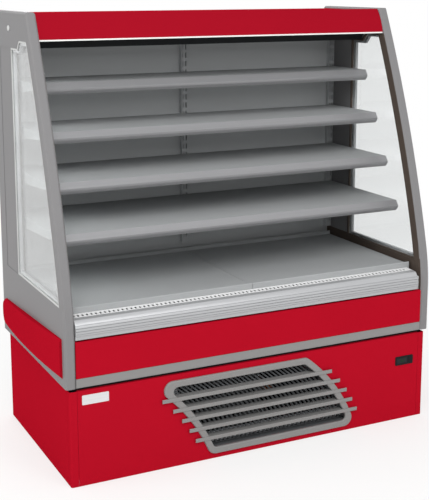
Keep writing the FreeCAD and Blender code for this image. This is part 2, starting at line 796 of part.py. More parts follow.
def build_grille_ribs():
    """Bowed panel of slanting ribs behind the blades, in a skirt that meets the front panel."""
    slab = new_body("rib_slab")
    outer = D.grille_band - D.blade_wall
    low, high = D.grille_bottom + outer, grille_top - outer
    edge_y = base_front - D.frame_stand + D.blade_depth + D.rib_swell + 4
    reach, steps = edge_y + D.rib_wall, int(D.rib_steps.number)
    heights = [low + (high - low) * step / D.rib_steps for step in range(steps + 1)]
    shares = [as_size(step) / D.rib_steps for step in range(steps + 1)]
    face = [(edge_y - 4 * D.rib_swell * s * (1 - s), height) for s, height in zip(shares, heights)]
    rear = [(y + D.rib_wall, height) for y, height in face]
    pad(slab, "YZ", bow_at(high, 0, False), bow_at(low), face + rear[::-1])
    outline = new_body("rib_outline")
    pad(outline, "XZ", base_front + D.sheet, reach, grille_loop(outer))
    blank = overlap("rib_blank", slab, outline)
    comb = new_body("rib_comb")
    start = D.grille_band + D.rib_margin
    count = whole((D.grille_width - 2 * start) / D.rib_pitch) + 1
    gap = pad(comb, "XZ", base_front, reach + 1, rib_gap_loop(start, heights))
    repeat(comb, gap, "X", count, D.rib_pitch)
    window = new_body("rib_window")
    pad(window, "XZ", base_front, reach + 1, grille_loop(D.grille_band + D.blade_wall))
    ribs = minus("rib_panel", blank, overlap("rib_gaps", comb, window))
    skirt = new_body("rib_skirt")
    pad(skirt, "XZ", base_front + D.sheet, reach, grille_loop(outer))
    pocket(skirt, "XZ", base_front, reach + 1, grille_loop(D.grille_band))
    node(fuse("grille_ribs", ribs, skirt), "grille_ribs")


# ---------------------------------------------------------------- controller


def build_controller():
    """Thermostat with a bezel, a window and three keys, in the right of the base front."""
    x, z = base_half - D.controller_inset, D.base_height - D.controller_drop
    half, tall = D.controller_width / 2, D.controller_tall / 2
    face = base_front - D.bezel_stand
    body = new_body("controller_case")
    bezel = pad(body, "XZ", face, base_front, rectangle(x - half, x + half, z - tall, z + tall))
    soft = ease(body, bezel, 4, along_y)
    ease(body, soft, 1, lambda e: near(e, y=face, reach=0.05))
    window = (x - half + 7, x + half - 26, z - tall + 7, z + tall - 7)
    pocket(body, "XZ", face - 1, face + 1.5, rectangle(*window))
    key_x, width = x + half - 17, D.key_width
    spots = [(key_x, z + (index - 1) * (width + 1.5)) for index in range(3)]
    wells = [
        rectangle(a - width / 2 - 0.4, a + width / 2 + 0.4, b - width / 2 - 0.4, b + width / 2 + 0.4)
        for a, b in spots
    ]
    pocket(body, "XZ", face - 1, base_front - 0.4, *wells)
    node(body, "controller_case")
    glass = box(
        "controller_window",
        (window[0] + 0.1, window[1] - 0.1),
        (face + 0.5, face + 1.5),
        (window[2] + 0.1, window[3] - 0.1),
    )
    node(glass, "controller_window")
    for index, (a, b) in enumerate(spots, start=1):
        key = new_body(f"controller_key_{index}")
        cap = pad(
            key,
            "XZ",
            face - 0.5,
            base_front - 0.4 - D.key_travel - 0.2,
            rectangle(a - width / 2, a + width / 2, b - width / 2, b + width / 2),
        )
        ease(key, cap, 1.2, along_y)
        node(key, f"controller_key_{index}")


# ---------------------------------------------------------------- end panels


def nose_outline():
    """The leaning front edge, from the bottom up, as corners for a YZ outline."""
    return [
        (nose, case_bottom),
        (nose, straight_top, -knee_bow),
        (knee, knee_top, -D.nose_bow),
        (crest, top),
    ]


def window_loop(inset=0):
    """Window outline in the end panel: leaning front edge, raised front part, stepped top."""
    rear = back - D.window_rear - inset
    low, high = window_low + inset, top - D.window_top_drop - inset
    lobe = top - D.window_top_drop + D.window_lobe_rise - inset
    margin = D.window_margin + inset
    peak = nose_at(lobe, margin)
    slope = D.window_lobe_rise * 0.9
    return [
        (rear, low),
        (rear, high),
        (peak + D.window_lobe_length + slope - inset, high),
        (peak + D.window_lobe_length - inset, lobe),
        (peak, lobe, D.nose_bow - margin),
        (nose_at(low + D.window_foot, margin), low + D.window_foot),
        (nose_at(low + D.window_foot, margin) - 14, low),
    ]


def round_window(body, feature, inset):
    """Rounds the two upper corners of the raised part of a window outline."""
    height = top - D.window_top_drop + D.window_lobe_rise - inset

    def corner(edge):
        return runs_along(edge, AXIS_X) and near(edge, z=height)

    return ease(body, feature, D.window_corner - inset, corner)


def build_end_panel():
    """End panel: leaning nose, chamfered edges, window opening, recessed field behind it."""
    body = new_body("end_panel_left")
    outer, inner = -case_half, -inner_half
    loop = nose_outline() + [(back, top), (back, case_bottom)]
    slab = pad(body, "YZ", outer, inner, loop)

    def front_or_top(edge):
        middle = edge.BoundBox.Center
        on_face = edge.BoundBox.XLength < 0.01
        on_nose = middle.y < crest.number and middle.z > case_bottom.number + 1
        return on_face and (on_nose or near(edge, z=top))

    ease(body, slab, D.nose_chamfer, front_or_top, kind="Chamfer")
    opening = pocket(body, "YZ", outer - 1, inner + 1, window_loop())
    round_window(body, opening, 0)
    field = back - D.window_rear + 2
    pocket(
        body,
        "YZ",
        outer - 1,
        outer + D.field_depth,
        rectangle(field, field + D.field_length, window_low, top - D.window_top_drop),
    )
    node(body, "end_panel_left")
    node(mirrored("end_panel_right", body), "end_panel_right")


def inner_trim_loop():
    """Trim between the nose and the window, from under the window's front corner to the canopy."""
    gap, margin = D.nose_chamfer + 2, D.window_margin
    low, high = window_low - D.trim_drop, canopy_low - D.lip_height - 1
    foot_top = window_low + D.window_foot
    corner = nose_at(foot_top, margin) - 14
    return [
        (nose + gap + D.nose_knee_back / 3, low),
        (nose_at(knee_top, gap), knee_top, -(D.nose_bow - gap)),
        (nose_at(high, gap), high),
        (nose_at(high, margin), high, D.nose_bow - margin),
        (nose_at(foot_top, margin), foot_top),
        (corner, window_low),
        (corner + D.trim_foot, window_low),
        (corner + D.trim_foot, low),
    ]


def build_windows():
    """Sealed double panes of both end panels, their seals, and the dark trim inside the case."""
    outer, inner = case_half, inner_half
    seal = new_body("seal")
    ring = pad(seal, "YZ", inner + 1, outer - 1, window_loop())
    rounded = round_window(seal, ring, 0)
    hole = pocket(seal, "YZ", inner, outer, window_loop(D.seal_width))
    eased = round_window(seal, hole, D.seal_width)
    seal.Tip = eased
    trim = new_body("inner_trim")
    pad(trim, "YZ", inner - D.trim_wall, inner, inner_trim_loop())
    pieces = [seal, trim, mirrored("seal_far", seal), mirrored("trim_far", trim)]
    node(fuse("window_seals", *pieces), "window_seals")
    glass = new_body("pane")
    far_face = outer - D.glass_inset
    near_face = far_face - D.glass_thickness
    pad(glass, "YZ", near_face, near_face + D.glass_sheet, window_loop(D.seal_width))
    pane = pad(glass, "YZ", far_face - D.glass_sheet, far_face, window_loop(D.seal_width))
    round_window(glass, pane, D.seal_width)
    node(fuse("end_glasses", glass, mirrored("pane_far", glass)), "end_glasses")


def build_side_bumpers():
    """End bumper: side outline and swelling plan outline intersected, then bevelled."""
    wall, swell, thin = -case_half, D.bumper_swell, D.bumper_end
    start, end = nose + D.bumper_front_gap, back - 12
    low = case_bottom + D.bumper_bottom
    front_top, back_top = low + D.bumper_front_height, low + D.bumper_back_height
    side = new_body("bumper_side")
    upright = pad(
        side,
        "YZ",
        wall - 2 * swell,
        wall,
        [(start, low), (end, low), (end, back_top), (start, front_top)],
    )
    ease(side, upright, 40, lambda e: runs_along(e, AXIS_X) and near(e, y=end))
    plan = new_body("bumper_plan")
    run, rise = (end - start) / 2, swell - thin
    pad(
        plan,
        "XY",
        low - 5,
        front_top + 5,
        [
            (wall, start),
            (wall, end),
            (wall - thin, end, (run * run + rise * rise) / (2 * rise)),
            (wall - thin, start),
        ],
    )
    blank = overlap("bumper_blank", side, plan)
    doc.recompute()
    top_edges = []
    for number, edge in enumerate(blank.Shape.Edges, start=1):
        middle = edge.BoundBox.Center
        long_edge = edge.BoundBox.YLength > 300
        if long_edge and middle.z > low.number + 40 and edge.BoundBox.XMax < wall.number - 1:
            top_edges.append((number, D.bumper_bevel.number, D.bumper_bevel.number))
    bevel = doc.addObject("Part::Chamfer", "bumper")
    bevel.Base = blank
    bevel.Edges = top_edges
    node(fuse("side_bumpers", bevel, mirrored("bumper_far", bevel)), "side_bumpers")


# ---------------------------------------------------------------- front trim


def build_front_trim():
    """Grey rail, red bumper and silver sill across the front between the end panels."""
    half = inner_half - D.seam
    rail = new_body("lower_rail")
    face = nose + D.front_setback + 1
    pad(
        rail,
        "YZ",
        -half,
        half,
        [
            (face + 1, case_bottom),
            (skin_back, case_bottom),
            (skin_back, rail_top),
            (face, rail_top),
            (face, case_bottom + 4),
        ],
    )
    node(rail, "lower_rail")
    bumper = new_body("front_bumper")
    face = nose + D.front_setback
    pad(
        bumper,
        "YZ",
        -half,
        half,
        [
            (face + 2, rail_top),
            (skin_back, rail_top),
            (skin_back, bumper_top),
            (face + 3, bumper_top),
            (face, bumper_top - 4),
            (face, rail_top + 2),
        ],
    )
    node(bumper, "front_bumper")
    build_sill()


sill_flat = (front + 16, front + 35)


def build_sill():
    """Silver extrusion with a rounded nose, four grooves and a set-back foot, and the slotted strip."""
    sill = new_body("sill_profile")
    low, high = sill_low, sill_high
    skirt_back, skirt_top = front + 5, low + 12
    pad(
        sill,
        "YZ",
        sill_left,
        sill_right,
        [
            (skirt_back, low),
            (skin_back, low),
            (skin_back, high - 14),
            (sill_flat[1], high - 2),
            (sill_flat[1], high + 2),
            (sill_flat[0], high, 40),
            (front + 5, high - 15, 60),
            (front, high - 39),
            (front, skirt_top + 2),
            (skirt_back, skirt_top),
        ],
    )
    for index in range(4):
        height = skirt_top + 6 + index * 9
        groove = rectangle(front - 2, front + 2 + index * 1.4, height, height + 1.6)
        pocket(sill, "YZ", sill_left - 1, sill_right + 1, groove)
    node(sill, "sill_profile")
    strip = new_body("return_air_strip")
    start = (sill_flat[1] + D.seat_gap, high - 0.4)
    end = (front + D.deck_back_step - D.seat_gap, high + 1)
    slope = [start, (start[0], start[1] + D.sheet), (end[0], end[1] + D.sheet), end]
    pad(strip, "YZ", sill_left, sill_right, slope)
    count = whole((sill_right - sill_left - D.slot_pitch) / D.slot_pitch)
    first = sill_left + D.slot_pitch / 2
    hole = rectangle(first, first + D.slot_width, start[0] + D.slot_margin, end[0] - D.slot_margin)
    slot = pocket(strip, "XY", start[1] - 1, end[1] + D.sheet + 1, hole)
    repeat(strip, slot, "X", count, D.slot_pitch)
    node(strip, "return_air_strip")


# ---------------------------------------------------------------- insulated tub

tub_front = skin_back
tub_top = roof_top - D.roof_sheet
well_floor = case_bottom + D.tub_floor


def build_tub():
    """Foam tub: front wall under the sill, floor, back and roof in one section."""
    body = new_body("insulated_tub")
    wall = D.tub_wall
    roof_front = nose_at(tub_top) + 62
    pad(
        body,
        "YZ",
        -inner_half,
        inner_half,
        [
            (tub_front, case_bottom),
            (tub_back, case_bottom),
            (tub_back, tub_top),
            (roof_front, tub_top),
            (roof_front, tub_top - D.tub_roof),
            (tub_back - wall, tub_top - D.tub_roof),
            (tub_back - wall, well_floor),
            (tub_front + wall * 0.6, well_floor),
            (tub_front + wall * 0.6, sill_high - 14),
            (tub_front, sill_high - 22),
        ],
    )
    node(body, "insulated_tub")
    roof = new_body("roof_panel")
    half = inner_half - D.seam
    pad(
        roof,
        "YZ",
        -half,
        half,
        [
            (roof_front, tub_top),
            (tub_back, tub_top),
            (tub_back, tub_top - 60),
            (tub_back + D.roof_sheet, tub_top - 60),
            (tub_back + D.roof_sheet, roof_top),
            (roof_front, roof_top),
        ],
    )
    node(roof, "roof_panel")


duct_low = deck_top + 20
duct_high = tub_top - D.tub_roof


def build_duct_panel():
    """Perforated back panel with folded side edges that stand it off the foam."""
    body = new_body("rear_duct_panel")
    half = inner_half - D.seam
    pad(body, "XZ", duct_front, duct_front + D.duct_sheet, rectangle(-half, half, duct_low, duct_high))
    fold = rectangle(half - D.duct_sheet, half, duct_low, duct_high)
    side = pad(body, "XZ", duct_front + D.duct_sheet, duct_front + D.duct_depth, fold)
    mirror_in_body(body, [side])
    reach = D.duct_slot_length / 2
    count = whole((2 * half - D.duct_slot_length) / D.duct_slot_pitch)
    first = -D.duct_slot_pitch * (count - 1) / 2
    for index in range(int(D.shelf_count.number)):
        height = shelf_low + index * shelf_pitch - 60
        slot = pocket(
            body,
            "XZ",
            duct_front - 1,
            duct_front + D.duct_sheet + 1,
            rectangle(first - reach, first + reach, height, height + 5),
        )
        repeat(body, slot, "X", count, D.duct_slot_pitch)
    node(body, "rear_duct_panel")


hook_x = shelf_half - D.bracket_wall / 2
first_seat = shelf_low - D.hook_drop


def build_uprights():
    """Slotted uprights at both ends and in the middle; the outer slots take the shelf hooks."""
    body = new_body("shelf_uprights")
    width, wall = D.upright_width, D.upright_wall
    low, high = duct_low + 4, duct_high - 4
    slot_half, side = D.upright_slot_width / 2, D.upright_slot_side
    slot_low = first_seat - D.upright_slots_below * D.upright_slot_pitch
    count = whole((high - slot_low) / D.upright_slot_pitch)
    end = hook_x - side
    for centre in (-end, as_size(0), end):
        left, right = centre - width / 2, centre + width / 2
        channel = [
            (left, duct_front),
            (left, upright_front),
            (right, upright_front),
            (right, duct_front),
            (right - wall, duct_front),
            (right - wall, upright_front + wall),
            (left + wall, upright_front + wall),
            (left + wall, duct_front),
        ]
        pad(body, "XY", low, high, channel)
        slots = [
            rectangle(spot - slot_half, spot + slot_half, slot_low, slot_low + D.upright_slot_height)
            for spot in (centre - side, centre + side)
        ]
        slot = pocket(body, "XZ", upright_front - 1, upright_front + wall + 1, *slots)
        repeat(body, slot, "Z", count, D.upright_slot_pitch)
    node(body, "shelf_uprights")


# ---------------------------------------------------------------- shelves


def build_shelf(number, height, tip):
    """Shelf pan with folded edges and two tapered, hooked brackets, and its price rail at the tip."""
    pan_front = tip + D.price_rail_depth
    pan_back = upright_front - 4
    half, sheet, fold = shelf_half, D.shelf_sheet, D.shelf_fold
    pan = new_body(f"shelf_{number}")
    inside = half - D.bracket_wall
    pad(
        pan,
        "YZ",
        -inside,
        inside,
        [
            (pan_front, height),
            (pan_front, height - fold),
            (pan_front + sheet, height - fold),
            (pan_front + sheet, height - sheet),
            (pan_back - sheet, height - sheet),
            (pan_back - sheet, height - fold),
            (pan_back, height - fold),
            (pan_back, height),
        ],
    )
    seat = height - D.hook_drop
    foot, behind = upright_front - D.seat_gap, upright_front + D.upright_wall + D.hook_play
    bracket = pad(
        pan,
        "YZ",
        -half,
        -inside,
        [
            (pan_front, height),
            (pan_front, height - fold),
            (pan_back - 60, height - D.bracket_depth),
            (foot, height - D.bracket_depth),
            (foot, height - D.bracket_depth + 10),
            (pan_back, height - D.bracket_depth + 14),
            (pan_back, seat + D.seat_gap),
            (behind, seat + D.seat_gap),
            (behind, seat - D.hook_lip),
            (behind + D.bracket_wall, seat - D.hook_lip),
            (behind + D.bracket_wall, seat + D.hook_height),
            (pan_back, seat + D.hook_height),
            (pan_back, height),
        ],
    )
    mirror_in_body(pan, [bracket])
    node(pan, f"shelf_{number}")
    rail = new_body(f"price_rail_{number}")
    tall = D.price_rail_height
    pad(
        rail,
        "YZ",
        -half,
        half,
        [
            (pan_front, height - fold),
            (pan_front, height),
            (tip + 14, height + 1),
            (tip, height - tall * 0.5, 30),
            (tip + 3, height - tall * 0.72),
            (tip + 13, height - tall),
            (pan_front, height - tall + 2),
        ],
    )
    node(rail, f"price_rail_{number}")


def build_shelves():
    for index in range(int(D.shelf_count.number)):
        above = D.shelf_count - 1 - index
        height = shelf_low + above * shelf_pitch
        build_shelf(index + 1, height, front + D.shelf_front + above * D.shelf_step)


deck_front = front + D.deck_back_step + D.deck_clear
deck_back = upright_front - 4


def build_deck():
    """Two deck pans side by side over the evaporator, with a raised front lip."""
    floor, sheet = deck_top - D.deck_drop, D.deck_sheet
    for name, low, high in (
        ("deck_pan_left", -deck_half, -D.seam),
        ("deck_pan_right", D.seam, deck_half),
    ):
        body = new_body(name)
        pad(
            body,
            "YZ",
            low,
            high,
            [
                (deck_front, deck_top - 26),
                (deck_front, deck_top - 2),
                (deck_front + 2, deck_top),
                (deck_front + 17, deck_top - 7),
                (deck_front + 24, floor),
                (deck_back - sheet, floor),
                (deck_back - sheet, floor + 14),
                (deck_back, floor + 14),
                (deck_back, floor - sheet),
                (deck_front + 23, floor - sheet),
                (deck_front + 16, deck_top - 9),
                (deck_front + 3, deck_top - 3),
                (deck_front + sheet, deck_top - 4),
                (deck_front + sheet, deck_top - 26),
            ],
        )
        node(body, name)


# ---------------------------------------------------------------- canopy

def build_canopy():
    """Curved red canopy with returned edges, the pale lip under it, reflector and lamp."""
    half = inner_half - D.seam
    sheet, lean = D.canopy_sheet, D.canopy_face_lean
    high = canopy_low + D.canopy_face
    roof_front = nose_at(tub_top) + 62
    face_top = canopy_front + lean
    body = new_body("canopy_front")
    bow, inner_bow = D.canopy_bow, D.canopy_bow - sheet
    pad(
        body,
        "YZ",
        -half,
        half,
        [
            (canopy_front, canopy_low, -bow),
            (face_top, high),
            (face_top + 10, high),
            (face_top + 14, roof_top + sheet),
            (roof_front + 8, roof_top + sheet),
            (roof_front + 8, roof_top),
            (roof_front, roof_top),
            (roof_front, roof_top - sheet),
            (face_top + 12, roof_top - sheet),
            (face_top + 8, high - sheet),
            (face_top + sheet, high - sheet, inner_bow),
            (canopy_front + sheet, canopy_low + sheet),
            (canopy_front + 14, canopy_low + sheet),
            (canopy_front + 14, canopy_low),
        ],
    )
    node(body, "canopy_front")
    lip = box(
        "canopy_lip",
        (-half, half),
        (canopy_front + 0.5, canopy_front + 13),
        (canopy_low - D.lip_height, canopy_low),
    )
    node(lip, "canopy_lip")
    build_canopy_inside(half)
    build_air_outlet()


def build_canopy_inside(half):
    """Blind on its roller, pull bar, brackets, and the reflector with the lamp tube."""
    end_gap = 12
    roller_y, roller_z = canopy_front + D.roller_back, canopy_low + D.roller_rise
    spot, length = (-half + end_gap, roller_y, roller_z), 2 * (half - end_gap)
    node(rod("blind_roller", "X", spot, D.roller_radius, length), "blind_roller")
    bar = new_body("blind_bar")
    low = canopy_low - D.blind_bar_hang
    high = low + D.blind_bar_height
    bar_front = canopy_front + D.blind_bar_back
    bar_back = bar_front + D.blind_bar_depth
    profile = [
        (bar_front, high),
        (bar_front, low + 6),
        (bar_front + 6, low),
        (bar_back, low),
        (bar_back, high),
    ]
    pad(bar, "YZ", -half + end_gap + 2, half - end_gap - 2, profile)
    node(bar, "blind_bar")
    cloth_back = roller_y - D.roller_radius - D.seat_gap
    fabric = box(
        "blind_fabric",
        (-half + end_gap + 8, half - end_gap - 8),
        (cloth_back - D.blind_cloth, cloth_back),
        (high + D.seat_gap, roller_z - 2),
    )
    node(fabric, "blind_fabric")
    build_lamp(half, roller_y, roller_z, end_gap)


def build_lamp(half, roller_y, roller_z, end_gap):
    """End brackets that carry the roller and the reflector, and the lamp tube in it."""
    wall, foot = D.bracket_wall, canopy_low + 4
    start = canopy_front + 60
    brackets = new_body("canopy_brackets")
    plate = rectangle(canopy_front + 15, start + 52, foot - 1, duct_high - D.seat_gap)
    left = pad(brackets, "YZ", -half, -half + wall, plate)
    pin_end = -half + end_gap - D.seat_gap
    pin = pad(brackets, "YZ", -half + wall, pin_end, circles=[(roller_y, roller_z, D.roller_radius / 2)])
    mirror_in_body(brackets, [left, pin])
    node(brackets, "canopy_brackets")
    reflector = new_body("lamp_reflector")
    deep, sheet = foot + 20, D.canopy_sheet
    profile = [
        (start, foot),
        (start + sheet, foot),
        (start + 12, deep),
        (start + 40, deep),
        (start + 50, foot),
        (start + 50 + sheet, foot),
        (start + 41, deep + sheet),
        (start + 11, deep + sheet),
    ]
    pad(reflector, "YZ", -half + wall + D.seat_gap, half - wall - D.seat_gap, profile)
    node(reflector, "lamp_reflector")
    lamp_spot = (-half + 40, start + 26, deep - D.lamp_radius - D.seat_gap)
    node(rod("lamp_tube", "X", lamp_spot, D.lamp_radius, 2 * (half - 40)), "lamp_tube")


def build_air_outlet():
    """Box that hangs from the tub's roof behind the lamp, with open cells in its foot."""
    outlet = new_body("air_outlet")
    half = inner_half - D.deck_side_gap
    low, high, wall = canopy_low - D.outlet_drop, duct_high, D.outlet_wall
    near_y = canopy_front + D.outlet_back
    far_y = near_y + D.outlet_depth
    pad(outlet, "XY", low, high, rectangle(-half, half, near_y, far_y))
    hollow = rectangle(-half + wall, half - wall, near_y + wall, far_y - wall)
    pocket(outlet, "XY", low + 4 * wall, high + 1, hollow)
    count = whole((2 * half - D.outlet_pitch) / D.outlet_pitch)
    first = -D.outlet_pitch * count / 2 + wall / 2
    cell = rectangle(first, first + D.outlet_pitch - wall, near_y + wall, far_y - wall)
    repeat(outlet, pocket(outlet, "XY", low - 1, low + 4 * wall + 1, cell), "X", count, D.outlet_pitch)
    node(outlet, "air_outlet")


# ---------------------------------------------------------------- cooling


def build_fan(name, spot, radius, depth, blades, spin="Y"):
    """Fan with a round hub and lofted, pitched blades, made at the origin and put in place."""
    body = new_body(name)
    hub = radius * 0.3
    pad(body, "XY", -depth / 2, depth / 2, circles=[(0, 0, hub)])
    sections = []
    root_reach, tip_reach, tip_chord = hub * 0.9, radius * 0.9, radius * 0.4
    for reach, chord in ((root_reach, hub * 0.75), (tip_reach, tip_chord)):
        rise = chord / tip_chord * depth * 0.45
        thick = chord * 0.035
        profile = [
            (-chord, -rise),
            (-chord, -rise + thick),
            (chord * 0.2, rise * 0.3 + thick),
            (chord, rise),
            (chord, rise - thick),
            (chord * 0.2, rise * 0.3 - thick),
        ]
        sections.append(sketch(body, "XZ", -reach, [profile]))
    blade = body.newObject("PartDesign::AdditiveLoft", name + "_blade")
    blade.Profile = sections[0]
    blade.Sections = sections[1:]
    blade.Ruled = True
    turn_repeat(body, blade, "Z", blades)
    place(body, *spot, turn=TURNS[spin])
    node(body, name)


def build_coil(name, x, y, z, fins):
    """Finned coil: fins cut into both faces of a core, end plates, and the tube bends past them."""
    body = new_body(name)
    pitch = (x[1] - x[0]) / (fins + 1)
    gap, core = pitch * 0.72, (y[1] - y[0]) * 0.3
    pad(body, "YZ", x[0], x[1], rectangle(y[0], y[1], z[0], z[1]))
    first = x[0] + pitch - gap / 2
    groove = pocket(
        body,
        "XY",
        z[0] - 1,
        z[1] + 1,
        rectangle(first, first + gap, y[0] - 1, y[0] + core),
        rectangle(first, first + gap, y[1] - core, y[1] + 1),
    )
    repeat(body, groove, "X", fins, pitch)
    rows = [z[0] + (z[1] - z[0]) * share for share in (0.25, 0.5, 0.75)]
    middle = (y[0] + y[1]) / 2
    tubes = [(middle, row, D.pipe_radius) for row in rows]
    pad(body, "YZ", x[0] - D.coil_bend, x[0], circles=tubes)
    pad(body, "YZ", x[1], x[1] + D.coil_bend, circles=tubes)
    node(body, name)


def build_cooling_unit():
    """Compressor, condenser with its fan, pipes, electrical box and condensate tray."""
    floor = D.tray_floor + D.sheet
    coil_y = (base_front + 75, base_front + 125)
    coil_x = (-as_size(250), as_size(30))
    build_coil("condenser_coil", coil_x, coil_y, (floor, floor + 250), D.coil_rows)
    fan_x = (coil_x[0] + coil_x[1]) / 2
    fan_z = floor + 125
    shroud = new_body("fan_shroud")
    shroud_y = coil_y[1] + 2
    square = rectangle(coil_x[0] - 2, coil_x[1] + 2, floor, floor + 250)
    pad(shroud, "XZ", shroud_y, shroud_y + 2, square, circles=[(fan_x, fan_z, D.fan_radius + 8)])
    ring = [(fan_x, fan_z, D.fan_radius + 8), (fan_x, fan_z, D.fan_radius + 4)]
    pad(shroud, "XZ", shroud_y, shroud_y + 40, circles=ring)
    node(shroud, "fan_shroud")
    motor_y = shroud_y + 44
    build_fan("condenser_fan", (fan_x, shroud_y + 22, fan_z), D.fan_radius, as_size(30), D.fan_blades)
    motor = rod("motor_can", "Y", (fan_x, motor_y, fan_z), 38, 62)
    shaft = rod("motor_shaft", "Y", (fan_x, shroud_y + 37 + D.seat_gap, fan_z), 5, 8)
    stand = box("motor_stand", (fan_x - 20, fan_x + 20), (motor_y + 10, motor_y + 50), (floor, fan_z))
    node(fuse("condenser_fan_motor", motor, shaft, stand), "condenser_fan_motor")
    build_compressor(as_size(250), base_front + 300, floor)
    build_pipes(coil_x, coil_y, floor, as_size(250), base_front + 300)
    electrics = box(
        "electrical_box",
        (base_half - 150, base_half - 40),
        (base_front + 90, base_front + 230),
        (floor, floor + 200),
    )
    node(electrics, "electrical_box")
    left, right, near_y, far_y, wall = -as_size(560), -as_size(330), base_front + 90, base_back - 60, D.sheet
    outer = box("drip_outer", (left, right), (near_y, far_y), (floor, floor + 60))
    inner = box(
        "drip_inner",
        (left + wall, right - wall),
        (near_y + wall, far_y - wall),
        (floor + wall, floor + 61),
    )
    node(minus("condensate_tray", outer, inner), "condensate_tray")


def build_compressor(x, y, floor):
    """Hermetic compressor: a domed can on a foot plate with rubber mounts."""
    body = new_body("compressor")
    radius, tall = D.shell_radius, D.shell_height
    base = floor + 14
    pad(body, "XY", base, base + 4, rectangle(x - radius - 20, x + radius + 20, y - radius, y + radius))
    can = pad(body, "XY", base + 4, base + tall, circles=[(x, y, radius)])

    def dome(edge):
        return isinstance(edge.Curve, Part.Circle) and near(edge, z=base + tall)

    ease(body, can, radius * 0.5, dome)
    spots = [(x + a * radius, y + b * (radius - 16), 12) for a in (-1, 1) for b in (-1, 1)]
    pad(body, "XY", floor, base, circles=spots)
    node(body, "compressor")


def build_pipes(coil_x, coil_y, floor, shell_x, shell_y):
    """Pipe run from the coil to the compressor with the filter drier in it, on arcs at each turn."""
    start = Vec((coil_x[1] + D.coil_bend).number, ((coil_y[0] + coil_y[1]) / 2).number, (floor + 125).number)
    run = shell_y.number - start.y
    reach = (shell_x - D.shell_radius - D.seat_gap).number - start.x
    stops = [start, start + Vec(70, 0, 0), start + Vec(70, run, 0), start + Vec(reach, run, 0)]
    bend = 28
    edges = []
    here = stops[0]
    for previous, corner, following in zip(stops, stops[1:], stops[2:]):
        into = (corner - previous).normalize()
        out = (following - corner).normalize()
        first, last = corner - into * bend, corner + out * bend
        middle = corner + (out - into).normalize() * bend * (math.sqrt(2) - 1)
        edges.append(Part.makeLine(here, first))
        edges.append(Part.Arc(first, middle, last).toShape())
        here = last
    edges.append(Part.makeLine(here, stops[-1]))
    path = Part.Wire(edges)
    ring = Part.Wire([Part.makeCircle(D.pipe_radius.number, start, Vec(1, 0, 0))])
    pipe = path.makePipeShell([ring], True, False)
    drier = Part.makeCylinder(17, 70, start + Vec(70, 50, 0), Vec(0, 1, 0))
    feature = doc.addObject("Part::Feature", "refrigerant_pipes")
    feature.Shape = pipe.fuse(drier)
    feature.Placement = FreeCAD.Placement()
    node(feature, "refrigerant_pipes")


def build_evaporator():
    """Evaporator coil, fan plate and two fans in the well under the deck."""
    floor = well_floor
    coil_y = (as_size(75), as_size(215))
    coil_x, coil_z = (-inner_half + 60, inner_half - 60), (floor, floor + 110)
    build_coil("evaporator_coil", coil_x, coil_y, coil_z, D.small_coil_rows)
    plate = new_body("fan_plate")
    plate_y = as_size(20)
    plate_top = deck_top - D.deck_drop - D.deck_sheet - D.seat_gap
    reach, fan_z = D.small_fan_radius + 3, floor + 78
    spots = [-inner_half / 2, inner_half / 2]
    pad(
        plate,
        "XZ",
        plate_y,
        plate_y + 2,
        rectangle(-inner_half + D.seat_gap, inner_half - D.seat_gap, floor, plate_top),
        circles=[(x, fan_z, reach) for x in spots],
    )
    node(plate, "fan_plate")
    motors = new_body("evaporator_fan_motors")
    start = plate_y + 13
    for x in spots:
        pad(motors, "XZ", start + D.seat_gap, start + 34, circles=[(x, fan_z, 20)])
        legs = [rectangle(x + a * 20 - 3, x + a * 20 + 3, floor, fan_z) for a in (-1, 1)]
        pad(motors, "XZ", start + 16, start + 26, *legs)
    node(motors, "evaporator_fan_motors")
    for name, x in zip(("evaporator_fan_left", "evaporator_fan_right"), spots):
        build_fan(name, (x, plate_y + 1, fan_z), D.small_fan_radius, as_size(24), D.fan_blades)


# ---------------------------------------------------------------- build, check and write

build_chassis()
build_posts()
build_feet()
build_front_panel()
build_side_panels()
build_rear_panel()
build_plinth()
build_grille_frame()
build_grille_bars()
build_grille_ribs()
build_controller()
build_end_panel()
build_windows()
build_side_bumpers()
build_front_trim()
build_tub()
build_duct_panel()
build_uprights()
build_shelves()
build_deck()
build_canopy()
build_cooling_unit()
build_evaporator()

doc.recompute()
for thing in doc.Objects:
    if {"Invalid", "Error"} & set(thing.State):
        raise ValueError(f"{thing.Label} did not build: {thing.State}")
os.makedirs("parts", exist_ok=True)
for piece in NODES:
    shape = piece.Shape
    if shape.isNull() or not shape.isValid() or not shape.Solids:
        raise ValueError(f"{piece.Label} has no valid solid")
for piece in NODES:
    piece.Shape.exportStep(f"parts/{piece.Label}.step")
print(len(NODES), "sub-parts written")
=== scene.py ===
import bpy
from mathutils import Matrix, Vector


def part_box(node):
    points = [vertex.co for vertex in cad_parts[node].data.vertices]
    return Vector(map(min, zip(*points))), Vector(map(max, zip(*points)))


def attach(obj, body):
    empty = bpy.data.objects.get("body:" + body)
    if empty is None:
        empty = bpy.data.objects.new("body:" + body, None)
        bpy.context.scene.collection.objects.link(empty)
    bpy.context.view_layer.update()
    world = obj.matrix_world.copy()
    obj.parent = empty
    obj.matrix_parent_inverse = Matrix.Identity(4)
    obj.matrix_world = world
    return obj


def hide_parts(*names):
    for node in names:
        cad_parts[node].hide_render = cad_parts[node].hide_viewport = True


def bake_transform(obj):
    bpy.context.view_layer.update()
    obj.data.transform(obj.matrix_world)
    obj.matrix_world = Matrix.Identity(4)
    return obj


bl_info = {
    "name": "Open display fridge",
    "version": (1, 0, 0),
    "blender": (4, 5, 0),
    "location": "3D View > Sidebar > Display fridge",
    "description": "Finishes an open multideck display fridge and lights it on a pale floor",
    "category": "Add Mesh",
}

